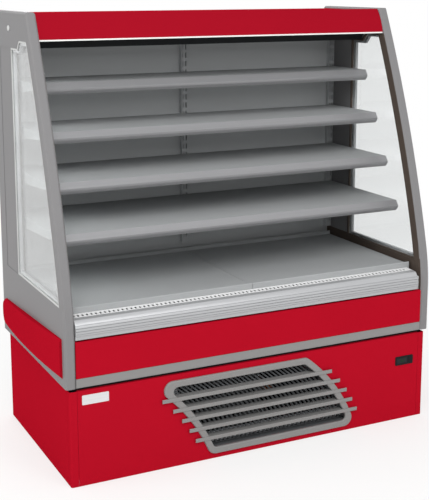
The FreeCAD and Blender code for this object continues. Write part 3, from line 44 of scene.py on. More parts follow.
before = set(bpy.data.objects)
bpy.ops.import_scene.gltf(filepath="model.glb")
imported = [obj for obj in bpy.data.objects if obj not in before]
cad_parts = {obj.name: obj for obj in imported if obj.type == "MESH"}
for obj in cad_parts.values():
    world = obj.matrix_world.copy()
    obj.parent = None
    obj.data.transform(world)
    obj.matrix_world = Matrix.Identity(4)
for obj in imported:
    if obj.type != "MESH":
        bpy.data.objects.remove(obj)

import math

import bpy
import numpy as np
from bpy.props import FloatProperty, FloatVectorProperty, PointerProperty
from mathutils import Vector

MM = 0.001
FLOOR_HALF = 14.0  # metres from the middle of the floor to its edge
FLOOR_FADE = (0.8, 2.4)  # metres from the fridge between which the floor turns to plain white
FLOOR_WHITE = 0.62  # share of plain white in the floor next to the fridge, which leaves it its shadow
ROOM_LIGHT = 0.62  # strength of the studio's even light
AIM = (0, 0, 0.75)  # where the lamps point
LAMPS = (  # name, place in metres, side of the square lamp in metres, watts
    ("key", (-1.7, -3.2, 3.9), 2.2, 95),
    ("fill", (0.7, -3.4, 2.6), 1.4, 32),
    ("side", (-4.2, 0.2, 2.4), 2.2, 45),
    ("back", (0.5, 3.2, 3.0), 2.4, 40),
)
DIGITS = ("bc", "acdefg", "abged")  # lit segments of each digit, from the left
DIGIT_PITCH = 0.85  # from digit to digit, a share of their height
CLOTH_GRID = (12, 60)  # points down and across the blind's cloth
CLOTH_RIPPLE = 0.5 * MM  # height of the cloth's ripple


def linear(code, alpha=1.0):
    """sRGB hex to linear RGBA: c/12.92 up to 0.04045, and ((c + 0.055)/1.055) to the power 2.4 above."""
    channels = [int(code[i:i + 2], 16) / 255 for i in (1, 3, 5)]
    return tuple(c / 12.92 if c <= 0.04045 else ((c + 0.055) / 1.055) ** 2.4 for c in channels) + (alpha,)


# ---------------------------------------------------------------- sizes and colours a user would change


def colour(label, code, note):
    return FloatVectorProperty(name=label, description=note, subtype="COLOR", size=4, min=0, max=1,
                               default=linear(code))


def length(label, millimetres, note):
    return FloatProperty(name=label, description=note, unit="LENGTH", min=0, default=millimetres * MM)


class FridgeColours(bpy.types.PropertyGroup):
    """Colours of the finishes."""
    steel_red: colour("Powder coat", "#AD1124", "Red polyester powder coat of the base and the roof")
    # painted shade: the same red coat as the base, drawn darker where the canopy's curve turns from the light
    canopy_shaded_red: colour("Canopy", "#9A1122", "Red of the curved canopy, darkened as painted shade")
    bumper_red: colour("Bumper", "#AB1023", "Red through-coloured bumper moulding")
    shell_grey: colour("End shell", "#807F80", "Grey of the end panels' moulded shells")
    trim_grey: colour("Trim", "#828180", "Grey of the rail and the grille")
    aluminium: colour("Anodised aluminium", "#AEAFB1", "Natural anodised extrusions")
    strip: colour("Air strip", "#FBFBFC", "Bright slotted strip behind the sill")
    # painted shade: the grille's grey, drawn darker for the shade that the blades throw on the ribs
    rib_shaded_grey: colour("Ribs", "#5E6062", "Grey of the ribs behind the blades, darkened as painted shade")
    rail_grey: colour("Price rail", "#8E8E90", "Grey anodised price rails")
    interior: colour("Interior", "#C3C5C6", "Pale coil-coated sheet inside the case")
    shelf_grey: colour("Shelves", "#A6A8A9", "Grey coated sheet of the shelves and the deck")
    zinc: colour("Zinc", "#B4B8BC", "Galvanised sheet")
    black: colour("Black moulding", "#1C1D1F", "Black polypropylene and polyamide")
    # painted shade: a dark brownish colour where the seals and the end panels' inner faces lie in shade
    seal: colour("Painted inner shade", "#544A43", "Painted shade on the inner side of the glazing seals and of the end panels' nose")
    lip: colour("Lip", "#E9E9E7", "Pale extruded lip under the canopy")
    cloth: colour("Blind cloth", "#AFB2B6", "Aluminised night blind cloth")
    copper: colour("Copper", "#8A5A40", "Tarnished copper tube")
    cap: colour("Screw cap", "#C6C7C6", "Moulded screw caps and the outer side of the glazing seals")
    digit_glow: colour("Digits", "#58E070", "Lit segments of the controller")
    floor: colour("Floor", "#F4F4F3", "Plain studio floor")


class FridgeSizes(bpy.types.PropertyGroup):
    """Sizes of the small pieces that this script makes."""
    cap_radius: length("Screw cap radius", 10, "Round cap over the fixing of an end panel")
    cap_rise: length("Screw cap rise", 3.5, "Height of the cap's dome")
    cap_from_back: length("Screw cap from the back", 188, "Cap centre in front of the case's back")
    cap_below_top: length("Screw cap below the top", 56, "Cap centre below the end panel's top")
    plate_width: length("Plate width", 90, "Bare plate on the base front")
    plate_height: length("Plate height", 32, "Bare plate on the base front")
    plate_thickness: length("Plate thickness", 1.2, "Bare plate on the base front")
    plate_from_side: length("Plate from the side", 86, "Plate centre from the base's left side")
    plate_below_top: length("Plate below the top", 32, "Plate centre below the base's top")
    digit_height: length("Digit height", 11, "Controller's digits")
    spacer_width: length("Spacer width", 9, "Spacer between the sheets of an end pane")


class FridgeStudio(bpy.types.PropertyGroup):
    """The camera and the light."""
    eye: FloatVectorProperty(name="Camera place", description="Where the camera stands", size=3,
                             subtype="TRANSLATION", unit="LENGTH", default=(-1.6904, -3.3985, 1.5801))
    yaw: FloatProperty(name="Yaw", description="Camera's turn to the right of straight ahead",
                       unit="ROTATION", default=math.radians(26.348))
    pitch: FloatProperty(name="Pitch", description="Camera's tilt below level",
                         unit="ROTATION", default=math.radians(10.659))
    lens: FloatProperty(name="Lens", description="Focal length in millimetres on a 36 mm side",
                        default=77.8)
    shift: FloatProperty(name="Shift", description="Lens shift, a share of the picture's long side",
                         default=-0.13)


# ---------------------------------------------------------------- materials


def add_node(tree, kind, inputs=None, **settings):
    """Adds a node, sets its properties, and gives each input a value or a link."""
    made = tree.nodes.new(kind)
    for name, value in settings.items():
        setattr(made, name, value)
    for socket, value in (inputs or {}).items():
        if isinstance(value, bpy.types.NodeSocket):
            tree.links.new(value, made.inputs[socket])
        else:
            made.inputs[socket].default_value = value
    return made


def new_material(name):
    """An empty material with its Object coordinates and its output."""
    material = bpy.data.materials.new(name)
    material.use_nodes = True
    tree = material.node_tree
    tree.nodes.clear()
    place = add_node(tree, "ShaderNodeTexCoord").outputs["Object"]
    end = add_node(tree, "ShaderNodeOutputMaterial")
    return material, tree, place, end


def finish_with(tree, end, shader):
    tree.links.new(shader, end.inputs["Surface"])


def shade(tint, factor):
    """The same colour, lighter or darker."""
    return tuple(min(1.0, c * factor) for c in tint[:3]) + (1.0,)


def wave_scale(pitch):
    """Scale that puts a wave texture's bands a pitch apart: they repeat every pi/10 units."""
    return math.pi / 10 / pitch


def powder_coat(name, tint, roughness=0.4, shine=0.0):
    """Polyester powder coat on steel sheet: an even satin colour, the fine orange peel of melted powder,
    and faint wiping marks that only change the gloss."""
    material, tree, place, end = new_material(name)
    peel = add_node(tree, "ShaderNodeTexNoise", {"Vector": place, "Scale": 420, "Detail": 2.0})  # 2.4 mm peel
    tone = add_node(tree, "ShaderNodeTexNoise", {"Vector": place, "Scale": 2.2, "Detail": 3.0})
    wiped = add_node(tree, "ShaderNodeTexNoise", {"Vector": place, "Scale": 14, "Detail": 4.0,
                                                  "Distortion": 1.5})
    mixed = add_node(tree, "ShaderNodeMix", {"Factor": tone.outputs["Fac"], "A": shade(tint, 0.93),
                                             "B": shade(tint, 1.07)}, data_type="RGBA")
    rough = add_node(tree, "ShaderNodeMapRange", {"Value": wiped.outputs["Fac"], "To Min": roughness - 0.05,
                                                  "To Max": roughness + 0.07})
    bump = add_node(tree, "ShaderNodeBump", {"Height": peel.outputs["Fac"], "Strength": 0.25,
                                             "Distance": 0.05 * MM})
    shader = add_node(tree, "ShaderNodeBsdfPrincipled", {
        "Base Color": mixed.outputs["Result"], "Roughness": rough.outputs["Result"],
        "Normal": bump.outputs["Normal"], "Specular IOR Level": shine})
    finish_with(tree, end, shader.outputs["BSDF"])
    return material


def moulded_shell(name, tint, roughness=0.45, grain=1.6, shine=0.08, painted_shade=None):
    """Injection or vacuum moulded plastic: even colour with a spark-eroded grain, slightly shinier where it
    has been touched. Painted shade, given as a colour, a distance from the middle plane and a height, colours
    what is nearer the middle plane and lower than that."""
    material, tree, place, end = new_material(name)
    eroded = add_node(tree, "ShaderNodeTexVoronoi", {"Vector": place, "Scale": 1 / (grain * MM)})
    tone = add_node(tree, "ShaderNodeTexNoise", {"Vector": place, "Scale": 3.0, "Detail": 2.0})
    mixed = add_node(tree, "ShaderNodeMix", {"Factor": tone.outputs["Fac"], "A": shade(tint, 0.95),
                                             "B": shade(tint, 1.05)}, data_type="RGBA")
    if painted_shade:
        painted_shade_tint, reach, height = painted_shade
        split = add_node(tree, "ShaderNodeSeparateXYZ", {"Vector": place})
        aside = add_node(tree, "ShaderNodeMath", {0: split.outputs["X"]}, operation="ABSOLUTE")
        near = add_node(tree, "ShaderNodeMath", {0: aside.outputs["Value"], 1: reach}, operation="LESS_THAN")
        low = add_node(tree, "ShaderNodeMath", {0: split.outputs["Z"], 1: height}, operation="LESS_THAN")
        in_painted_shade = add_node(tree, "ShaderNodeMath", {0: near.outputs["Value"], 1: low.outputs["Value"]},
                         operation="MULTIPLY")
        mixed = add_node(tree, "ShaderNodeMix", {"Factor": in_painted_shade.outputs["Value"], "B": painted_shade_tint,
                                                 "A": mixed.outputs["Result"]}, data_type="RGBA")
    rough = add_node(tree, "ShaderNodeMapRange", {"Value": tone.outputs["Fac"], "To Min": roughness - 0.04,
                                                  "To Max": roughness + 0.06})
    bump = add_node(tree, "ShaderNodeBump", {"Height": eroded.outputs["Distance"], "Strength": 0.18,
                                             "Distance": 0.06 * MM})
    shader = add_node(tree, "ShaderNodeBsdfPrincipled", {
        "Base Color": mixed.outputs["Result"], "Roughness": rough.outputs["Result"],
        "Normal": bump.outputs["Normal"], "Specular IOR Level": shine})
    finish_with(tree, end, shader.outputs["BSDF"])
    return material


def drawn_aluminium(name, tint, roughness=0.34, metal=1.0):
    """Anodised extrusion: die lines that run along X, drawn about 3 mm apart so that they show."""
    material, tree, place, end = new_material(name)
    along = add_node(tree, "ShaderNodeMapping", {"Vector": place, "Scale": (3, 330, 330)})
    lines = add_node(tree, "ShaderNodeTexNoise", {"Vector": along.outputs["Vector"], "Scale": 1.0,
                                                  "Detail": 2.0})
    mixed = add_node(tree, "ShaderNodeMix", {"Factor": lines.outputs["Fac"], "A": shade(tint, 0.9),
                                             "B": shade(tint, 1.06)}, data_type="RGBA")
    rough = add_node(tree, "ShaderNodeMapRange", {"Value": lines.outputs["Fac"], "To Min": roughness - 0.06,
                                                  "To Max": roughness + 0.08})
    bump = add_node(tree, "ShaderNodeBump", {"Height": lines.outputs["Fac"], "Strength": 0.2,
                                             "Distance": 0.05 * MM})
    shader = add_node(tree, "ShaderNodeBsdfPrincipled", {
        "Base Color": mixed.outputs["Result"], "Roughness": rough.outputs["Result"], "Metallic": metal,
        "Normal": bump.outputs["Normal"]})
    finish_with(tree, end, shader.outputs["BSDF"])
    return material


def galvanised_sheet(name, tint):
    """Hot-dip zinc: 12 mm spangles that differ in tone and gloss."""
    material, tree, place, end = new_material(name)
    bent = add_node(tree, "ShaderNodeTexNoise", {"Vector": place, "Scale": 60, "Detail": 2.0})
    spread = add_node(tree, "ShaderNodeMix", {"Factor": 0.012, "A": place, "B": bent.outputs["Color"]},
                      data_type="VECTOR")
    spangle = add_node(tree, "ShaderNodeTexVoronoi", {"Vector": spread.outputs["Result"],
                                                      "Scale": 1 / (12 * MM)})
    tone = add_node(tree, "ShaderNodeSeparateColor", {"Color": spangle.outputs["Color"]})
    mixed = add_node(tree, "ShaderNodeMix", {"Factor": tone.outputs["Red"], "A": shade(tint, 0.78),
                                             "B": shade(tint, 1.08)}, data_type="RGBA")
    rough = add_node(tree, "ShaderNodeMapRange", {"Value": tone.outputs["Green"], "To Min": 0.34,
                                                  "To Max": 0.52})
    shader = add_node(tree, "ShaderNodeBsdfPrincipled", {
        "Base Color": mixed.outputs["Result"], "Roughness": rough.outputs["Result"], "Metallic": 0.85})
    finish_with(tree, end, shader.outputs["BSDF"])
    return material


def pane_glass(name):
    """Clear float glass with a little dust in its gloss. Its reflections are held back, and it lets the
    light through where it would throw a shadow."""
    material, tree, place, end = new_material(name)
    dust = add_node(tree, "ShaderNodeTexNoise", {"Vector": place, "Scale": 9, "Detail": 5.0})
    rough = add_node(tree, "ShaderNodeMapRange", {"Value": dust.outputs["Fac"], "From Min": 0.45,
                                                  "From Max": 0.8, "To Min": 0.0, "To Max": 0.03})
    glass = add_node(tree, "ShaderNodeBsdfPrincipled", {
        "Base Color": linear("#FDFEFE"), "Roughness": rough.outputs["Result"], "IOR": 1.52,
        "Specular IOR Level": 0.3, "Transmission Weight": 1.0})
    clear = add_node(tree, "ShaderNodeBsdfTransparent", {"Color": linear("#F6F8F8")})
    rays = add_node(tree, "ShaderNodeLightPath")
    either = add_node(tree, "ShaderNodeMixShader", {0: rays.outputs["Is Shadow Ray"],
                                                    1: glass.outputs["BSDF"], 2: clear.outputs["BSDF"]})
    finish_with(tree, end, either.outputs["Shader"])
    return material


def woven_cloth(name, tint):
    """Aluminised glass cloth: a plain weave of half-millimetre threads, drawn 8 mm apart to show them."""
    material, tree, place, end = new_material(name)
    threads = {"Vector": place, "Scale": wave_scale(8 * MM), "Distortion": 0.3}
    weft = add_node(tree, "ShaderNodeTexWave", threads, bands_direction="X")
    warp = add_node(tree, "ShaderNodeTexWave", threads, bands_direction="Z")
    weave = add_node(tree, "ShaderNodeMath", {0: weft.outputs["Fac"], 1: warp.outputs["Fac"]},
                     operation="MAXIMUM")
    mixed = add_node(tree, "ShaderNodeMix", {"Factor": weave.outputs["Value"], "A": shade(tint, 0.75),
                                             "B": shade(tint, 1.05)}, data_type="RGBA")
    bump = add_node(tree, "ShaderNodeBump", {"Height": weave.outputs["Value"], "Strength": 0.5,
                                             "Distance": 0.2 * MM})
    shader = add_node(tree, "ShaderNodeBsdfPrincipled", {
        "Base Color": mixed.outputs["Result"], "Roughness": 0.5, "Metallic": 0.35,
        "Normal": bump.outputs["Normal"]})
    finish_with(tree, end, shader.outputs["BSDF"])
    return material


def fin_pack(name, tint):
    """Pressed aluminium fins, 1.9 mm apart along X, with painted shade in the gaps between them."""
    material, tree, place, end = new_material(name)
    fins = add_node(tree, "ShaderNodeTexWave", {"Vector": place, "Scale": wave_scale(1.9 * MM),
                                                "Distortion": 0.1}, bands_direction="X")
    sharp = add_node(tree, "ShaderNodeMapRange", {"Value": fins.outputs["Fac"], "From Min": 0.25,
                                                  "From Max": 0.6})
    # the gaps between the fins are painted shade, at 0.08 of the fins' colour
    mixed = add_node(tree, "ShaderNodeMix", {"Factor": sharp.outputs["Result"], "A": shade(tint, 0.08),
                                             "B": tint}, data_type="RGBA")
    bump = add_node(tree, "ShaderNodeBump", {"Height": sharp.outputs["Result"], "Strength": 0.6,
                                             "Distance": 0.8 * MM})
    shader = add_node(tree, "ShaderNodeBsdfPrincipled", {
        "Base Color": mixed.outputs["Result"], "Roughness": 0.42, "Metallic": 0.9,
        "Normal": bump.outputs["Normal"]})
    finish_with(tree, end, shader.outputs["BSDF"])
    return material


def lit_segment(name, tint):
    """Light-emitting segments behind a diffuser, whose grain makes their light a little uneven."""
    material, tree, place, end = new_material(name)
    core = add_node(tree, "ShaderNodeTexNoise", {"Vector": place, "Scale": 900})
    power = add_node(tree, "ShaderNodeMapRange", {"Value": core.outputs["Fac"], "To Min": 0.05,
                                                  "To Max": 0.1})
    shader = add_node(tree, "ShaderNodeEmission", {"Color": tint, "Strength": power.outputs["Result"]})
    finish_with(tree, end, shader.outputs["Emission"])
    return material


def put_on(material, *names):
    """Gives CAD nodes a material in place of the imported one."""
    for name in names:
        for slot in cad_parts[name].material_slots:
            slot.material = material


# ---------------------------------------------------------------- surfaces


def grid_faces(rows, columns, wrap):
    """Quads between neighbours of a grid of points, row by row; wrap joins the last column to the first."""
    across = columns if wrap else columns - 1
    row, column = np.meshgrid(np.arange(rows - 1), np.arange(across), indexing="ij")
    following = (column + 1) % columns
    corners = (row * columns + column, row * columns + following,
               (row + 1) * columns + following, (row + 1) * columns + column)
    return np.stack(corners, axis=-1).reshape(-1, 4)


def new_piece(name, points, faces, material, body="root", smooth=True):
    """A mesh piece at the origin from an array of points and lists of faces, riding on a body."""
    mesh = bpy.data.meshes.new(name)
    mesh.from_pydata(np.asarray(points, float).reshape(-1, 3).tolist(), [], [list(f) for f in faces])
    mesh.polygons.foreach_set("use_smooth", [smooth] * len(mesh.polygons))
    mesh.materials.append(material)
    mesh.validate()
    piece = bpy.data.objects.new(name, mesh)
    bpy.context.scene.collection.objects.link(piece)
    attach(piece, body)
    return piece


def rounded_outline(width, height, corner, steps=6):
    """A rounded rectangle: four quarter circles of the corner radius about the inset corners, as (N, 2)."""
    quarter = np.linspace(0, math.pi / 2, steps)
    arcs = []
    for turn, (sx, sy) in enumerate(((1, 1), (-1, 1), (-1, -1), (1, -1))):
        angle = quarter + turn * math.pi / 2
        centre = np.array([sx * (width / 2 - corner), sy * (height / 2 - corner)])
        arcs.append(centre + corner * np.stack([np.cos(angle), np.sin(angle)], axis=1))
    return np.concatenate(arcs)


def plate_rings(width, height, corner, profile):
    """Rings of a rounded plate: at each (inset, rise) of the profile, the outline shrunk by the inset."""
    rings = []
    for inset, rise in profile:
        ring = rounded_outline(width - 2 * inset, height - 2 * inset, max(corner - inset, 0.05 * MM))
        rings.append(np.column_stack([ring, np.full(len(ring), rise)]))
    return np.array(rings)


def closed_rings(rings):
    """Faces of stacked rings with both ends closed by one face each."""
    rows, columns = rings.shape[:2]
    faces = [tuple(f) for f in grid_faces(rows, columns, True)]
    faces.append(tuple(range(columns))[::-1])
    faces.append(tuple(range((rows - 1) * columns, rows * columns)))
    return faces


def dome_rings(radius, rise, count=32, rows=7):
    """A shallow dome on a short skirt: at angle t, radius r sin t and height h cos t above the skirt."""
    top_angle, skirt = 0.06, rise * 0.25
    angle = np.linspace(math.pi / 2, top_angle, rows)
    around = np.linspace(0, 2 * math.pi, count, endpoint=False)
    reach, height = radius * np.sin(angle), rise * np.cos(angle) + skirt
    reach, height = np.append(radius, reach), np.append(0.0, height)
    return np.stack([np.outer(reach, np.cos(around)), np.outer(reach, np.sin(around)),
                     np.repeat(height[:, None], count, axis=1)], axis=-1)


def facing(rings, spot, out, up):
    """Turns rings drawn in XY with their height in Z so that Z faces out, and moves them to a spot."""
    out, up = Vector(out).normalized(), Vector(up).normalized()
    side = up.cross(out)
    basis = np.array([side, up, out])
    return rings @ basis + np.array(spot)


# a segment's middle, across and up in half digits, and whether it stands upright
SEGMENTS = {"a": (0, 1, 0), "b": (0.5, 0.5, 1), "c": (0.5, -0.5, 1), "d": (0, -1, 0),
            "e": (-0.5, -0.5, 1), "f": (-0.5, 0.5, 1), "g": (0, 0, 0)}


def segment_plates(tall, lit):
    """Seven-segment digit: each segment a six-cornered bar with pointed ends and a smaller top face."""
    half, thick = tall * 0.21, tall * 0.055  # half a segment's length and half its thickness
    bar = np.array([(-half, 0), (-half + thick, thick), (half - thick, thick), (half, 0),
                    (half - thick, -thick), (-half + thick, -thick)])
    levels = ((1.0, 0.02 * MM), (1.0, 0.1 * MM), (0.9, 0.2 * MM))  # share of the outline, and its rise
    points, faces = [], []
    for name in lit:
        across, up, turned = SEGMENTS[name]
        flat = bar[:, ::-1] * (1, -1) if turned else bar
        centre = np.array([across, up]) * tall * 0.5
        rings = np.array([np.column_stack([flat * share + centre, np.full(len(bar), rise)])
                          for share, rise in levels])
        start = len(points) * len(levels) * len(bar)
        points.append(rings)
        faces += [tuple(corner + start for corner in face) for face in closed_rings(rings)]
    return np.concatenate(points).reshape(-1, 3), faces


def outline_of(points):
    """The outline of a flat, nearly convex face, its points in order of their angle about the middle."""
    points = np.unique(np.round(points, 6), axis=0)
    from_middle = points - points.mean(axis=0)
    return points[np.argsort(np.arctan2(from_middle[:, 1], from_middle[:, 0]))]


def inset_by(outline, distance):
    """A closed outline moved inwards: each point along the mean of its edges' normals, over its cosine."""
    edge = np.roll(outline, -1, axis=0) - outline
    normal = np.column_stack([-edge[:, 1], edge[:, 0]]) / np.linalg.norm(edge, axis=1)[:, None]
    both = normal + np.roll(normal, 1, axis=0)
    both /= np.linalg.norm(both, axis=1)[:, None]
    return outline + both * (distance / np.maximum((both * normal).sum(axis=1), 0.4))[:, None]


# ---------------------------------------------------------------- operators


class FRIDGE_OT_housing(bpy.types.Operator):
    """Finish the red sheet metal and the red bumpers"""
    bl_idname = "fridge.housing"
    bl_label = "Red housing"

    def execute(self, context):
        tint = context.scene.fridge_colours
        coat = powder_coat("red powder coat on steel sheet", tint.steel_red)
        put_on(coat, "base_front_panel", "base_side_panels", "base_rear_panel", "corner_posts", "roof_panel")
        # painted shade: the canopy's coat is drawn darker than the base's
        put_on(powder_coat("red powder coat on bent sheet, darkened as painted shade", tint.canopy_shaded_red), "canopy_front")
        put_on(moulded_shell("red moulded PVC bumper", tint.bumper_red, roughness=0.38, grain=2.0, shine=0.0),
               "front_bumper", "side_bumpers")
        return {"FINISHED"}


class FRIDGE_OT_shells(bpy.types.Operator):
    """Finish the grey end shells, the lower rail, the grille and the black mouldings"""
    bl_idname = "fridge.shells"
    bl_label = "Grey shells and grille"

    def execute(self, context):
        tint = context.scene.fridge_colours
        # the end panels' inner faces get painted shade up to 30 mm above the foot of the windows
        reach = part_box("end_panel_right")[0].x + 0.5 * MM
        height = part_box("window_seals")[0].z + 30 * MM
        put_on(moulded_shell("grey vacuum-formed ABS with painted inner shade", tint.shell_grey, painted_shade=(tint.seal, reach, height)),
               "end_panel_left", "end_panel_right")
        put_on(moulded_shell("light grey moulded ABS", tint.trim_grey, roughness=0.36, shine=0.5),
               "lower_rail", "grille_frame", "grille_bars")
        # painted shade: the ribs get a darker grey than the grille for the shade behind the blades
        put_on(moulded_shell("grey moulded ABS darkened as painted shade", tint.rib_shaded_grey, roughness=0.5), "grille_ribs")
        black = moulded_shell("black polyamide", tint.black, roughness=0.5)
        put_on(black, "plinth_ring", "blind_bar", "air_outlet", "condenser_fan", "evaporator_fan_left",
               "evaporator_fan_right", "condenser_fan_motor", "evaporator_fan_motors")
        return {"FINISHED"}


class FRIDGE_OT_extrusions(bpy.types.Operator):
    """Finish the sill, the return-air strip, the price rails, the canopy's lip and the lamp tube"""
    bl_idname = "fridge.extrusions"
    bl_label = "Sill and rails"

    def execute(self, context):
        tint = context.scene.fridge_colours
        put_on(drawn_aluminium("natural anodised aluminium", tint.aluminium, metal=0.25), "sill_profile")
        put_on(drawn_aluminium("bright anodised aluminium strip", tint.strip, metal=0.1), "return_air_strip")
        put_on(drawn_aluminium("grey anodised aluminium", tint.rail_grey, roughness=0.42, metal=0.4),
               "price_rail_1", "price_rail_2", "price_rail_3", "price_rail_4")
        put_on(moulded_shell("white extruded PVC", tint.lip, roughness=0.3), "canopy_lip")
        put_on(moulded_shell("opal polycarbonate tube", tint.lip, roughness=0.3), "lamp_tube")
        return {"FINISHED"}


class FRIDGE_OT_interior(bpy.types.Operator):
    """Finish the pale inside of the case and the galvanised sheets"""
    bl_idname = "fridge.interior"
    bl_label = "Interior"

    def execute(self, context):
        tint = context.scene.fridge_colours
        put_on(powder_coat("pale coil-coated sheet", tint.interior), "rear_duct_panel", "shelf_uprights",
               "insulated_tub", "lamp_reflector")
        put_on(powder_coat("grey coated steel sheet", tint.shelf_grey), "shelf_1", "shelf_2", "shelf_3",
               "shelf_4", "deck_pan_left", "deck_pan_right")
        zinc = galvanised_sheet("galvanised steel sheet", tint.zinc)
        put_on(zinc, "chassis_tray", "fan_shroud", "fan_plate", "canopy_brackets", "electrical_box",
               "condensate_tray")
        return {"FINISHED"}


class FRIDGE_OT_glazing(bpy.types.Operator):
    """Finish the end panes and their seals"""
    bl_idname = "fridge.glazing"
    bl_label = "Glazing"

    def execute(self, context):
        tint = context.scene.fridge_colours
        put_on(pane_glass("float glass"), "end_glasses")
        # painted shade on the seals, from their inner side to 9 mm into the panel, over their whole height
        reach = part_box("end_panel_right")[0].x + 9 * MM
        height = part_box("window_seals")[1].z + 30 * MM
        painted_shade = (tint.seal, reach, height)
        put_on(moulded_shell("EPDM seal with painted shade inside", tint.cap, roughness=0.5, painted_shade=painted_shade), "window_seals")
        return {"FINISHED"}


class FRIDGE_OT_cooling(bpy.types.Operator):
    """Finish the compressor, the coils, the pipes and the feet"""
    bl_idname = "fridge.cooling"
    bl_label = "Cooling unit"

    def execute(self, context):
        tint = context.scene.fridge_colours
        put_on(moulded_shell("black stove enamel", tint.black, roughness=0.25), "compressor")
        put_on(moulded_shell("black rubber foot", tint.black, roughness=0.25), "levelling_feet")
        put_on(fin_pack("pressed aluminium fins", shade(tint.aluminium, 0.5)), "condenser_coil",
               "evaporator_coil")
        put_on(drawn_aluminium("tarnished copper tube", tint.copper, roughness=0.35), "refrigerant_pipes")
        return {"FINISHED"}


class FRIDGE_OT_blind(bpy.types.Operator):
    """Make the night blind's cloth between its roller and its bar"""
    bl_idname = "fridge.blind"
    bl_label = "Night blind"

    def execute(self, context):
        tint = context.scene.fridge_colours
        cloth = woven_cloth("aluminised glass cloth", tint.cloth)
        put_on(cloth, "blind_roller")
        low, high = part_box("blind_fabric")
        roller_low, roller_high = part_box("blind_roller")
        middle = (low.y + high.y) / 2
        top, bottom = (roller_low.z + roller_high.z) / 2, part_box("blind_bar")[1].z
        rows, columns = CLOTH_GRID
        x, t = np.meshgrid(np.linspace(low.x, high.x, columns), np.linspace(0, 1, rows))
        # the cloth hangs straight down, and ripples across by the sine of 40 radians a metre
        y = middle + CLOTH_RIPPLE * np.sin(x * 40) * np.sin(t * math.pi)
        z = top + (bottom - top) * t
        points = np.stack([x, y, z], axis=-1)
        piece = new_piece("night_blind_cloth", points, grid_faces(rows, columns, False), cloth)
        piece.parent = None
        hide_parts("blind_fabric")
        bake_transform(piece)
        return {"FINISHED"}


class FRIDGE_OT_spacers(bpy.types.Operator):
    """Make the aluminium spacers between the sheets of the end panes"""
    bl_idname = "fridge.spacers"
    bl_label = "Pane spacers"

    def execute(self, context):
        tint, size = context.scene.fridge_colours, context.scene.fridge_sizes
        metal = drawn_aluminium("rolled aluminium spacer", tint.aluminium, roughness=0.4, metal=0.3)
        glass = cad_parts["end_glasses"]
        spots = np.array([glass.matrix_world @ v.co for v in glass.data.vertices])
        for side, sign in (("left", -1), ("right", 1)):
            mine = spots[spots[:, 0] * sign > 0]
            planes = np.unique(np.round(np.abs(mine[:, 0]), 5))
            outline = outline_of(mine[np.abs(np.abs(mine[:, 0]) - planes[0]) < 1e-5][:, 1:])
            play = 0.1 * MM
            inner, outer = planes[1] + play, planes[2] - play
            # a hollow bar: its section's corners, as the distance from the glass's rim and the depth
            rim, far, bevel, slope = 1 * MM, size.spacer_width, 1.2 * MM, 1.5 * MM
            section = ((rim, inner), (rim, outer), (far - bevel, outer), (far, outer - slope),
                       (far, inner + slope), (far - bevel, inner))
            rings = np.array([np.column_stack([np.full(len(outline), sign * depth), inset_by(outline, inset)])
                              for inset, depth in section])
            rows = np.transpose(np.concatenate([rings, rings[:1]]), (1, 0, 2))
            rows = np.concatenate([rows, rows[:1]])
            new_piece(f"pane_spacer_{side}", rows, grid_faces(*rows.shape[:2], False), metal, smooth=False)
        return {"FINISHED"}


class FRIDGE_OT_screw_caps(bpy.types.Operator):
    """Make the round caps over the end panels' fixings"""
    bl_idname = "fridge.screw_caps"
    bl_label = "Screw caps"

    def execute(self, context):
        tint, size = context.scene.fridge_colours, context.scene.fridge_sizes
        pale = moulded_shell("moulded polypropylene cap", tint.cap, roughness=0.35)
        for side, sign in (("left", -1), ("right", 1)):
            low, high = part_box(f"end_panel_{side}")
            face = low.x if sign < 0 else high.x
            spot = (face, high.y - size.cap_from_back, high.z - size.cap_below_top)
            rings = facing(dome_rings(size.cap_radius, size.cap_rise), spot, (sign, 0, 0), (0, 0, 1))
            new_piece(f"screw_cap_{side}", rings, closed_rings(rings), pale)
        return {"FINISHED"}


class FRIDGE_OT_plate(bpy.types.Operator):
    """Make the bare plate on the base front"""
    bl_idname = "fridge.plate"
    bl_label = "Bare plate"

    def execute(self, context):
        tint, size = context.scene.fridge_colours, context.scene.fridge_sizes
        low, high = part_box("base_front_panel")
        thick, corner = size.plate_thickness, 3 * MM
        # from the edge inwards: the side, a rounded rim 2 mm wide, and a sunk field
        profile = [(0, 0), (0, thick * 0.6), (0.5 * MM, thick), (2 * MM, thick), (2.4 * MM, thick * 0.7)]
        rings = plate_rings(size.plate_width, size.plate_height, corner, profile)
        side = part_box("base_side_panels")[0].x
        spot = (side + size.plate_from_side, low.y, high.z - size.plate_below_top)
        rings = facing(rings, spot, (0, -1, 0), (0, 0, 1))
        metal = drawn_aluminium("brushed aluminium plate", shade(tint.strip, 0.7), roughness=0.4, metal=0.2)
        new_piece("bare_plate", rings, closed_rings(rings), metal, smooth=False)
        return {"FINISHED"}


class FRIDGE_OT_controller(bpy.types.Operator):
    """Finish the controller and make its digits"""
    bl_idname = "fridge.controller"
    bl_label = "Controller"

    def execute(self, context):
        tint, size = context.scene.fridge_colours, context.scene.fridge_sizes
        black = moulded_shell("black ABS bezel", tint.black, roughness=0.35, grain=1.0)
        put_on(black, "controller_case", "controller_key_1", "controller_key_2", "controller_key_3")
        put_on(moulded_shell("smoked polycarbonate window", shade(tint.black, 2.0), roughness=0.15),
               "controller_window")
        glow = lit_segment("lit segments", tint.digit_glow)
        low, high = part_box("controller_window")
        middle = ((low.x + high.x) / 2, low.y, (low.z + high.z) / 2)
        tall = size.digit_height
        for place, lit in enumerate(DIGITS):
            rings, faces = segment_plates(tall, lit)
            spot = (middle[0] + (place - 1) * tall * DIGIT_PITCH, middle[1], middle[2])
            points = facing(rings, spot, (0, -1, 0), (0, 0, 1))
            new_piece(f"digit_{place + 1}", points, faces, glow, smooth=False)
        return {"FINISHED"}


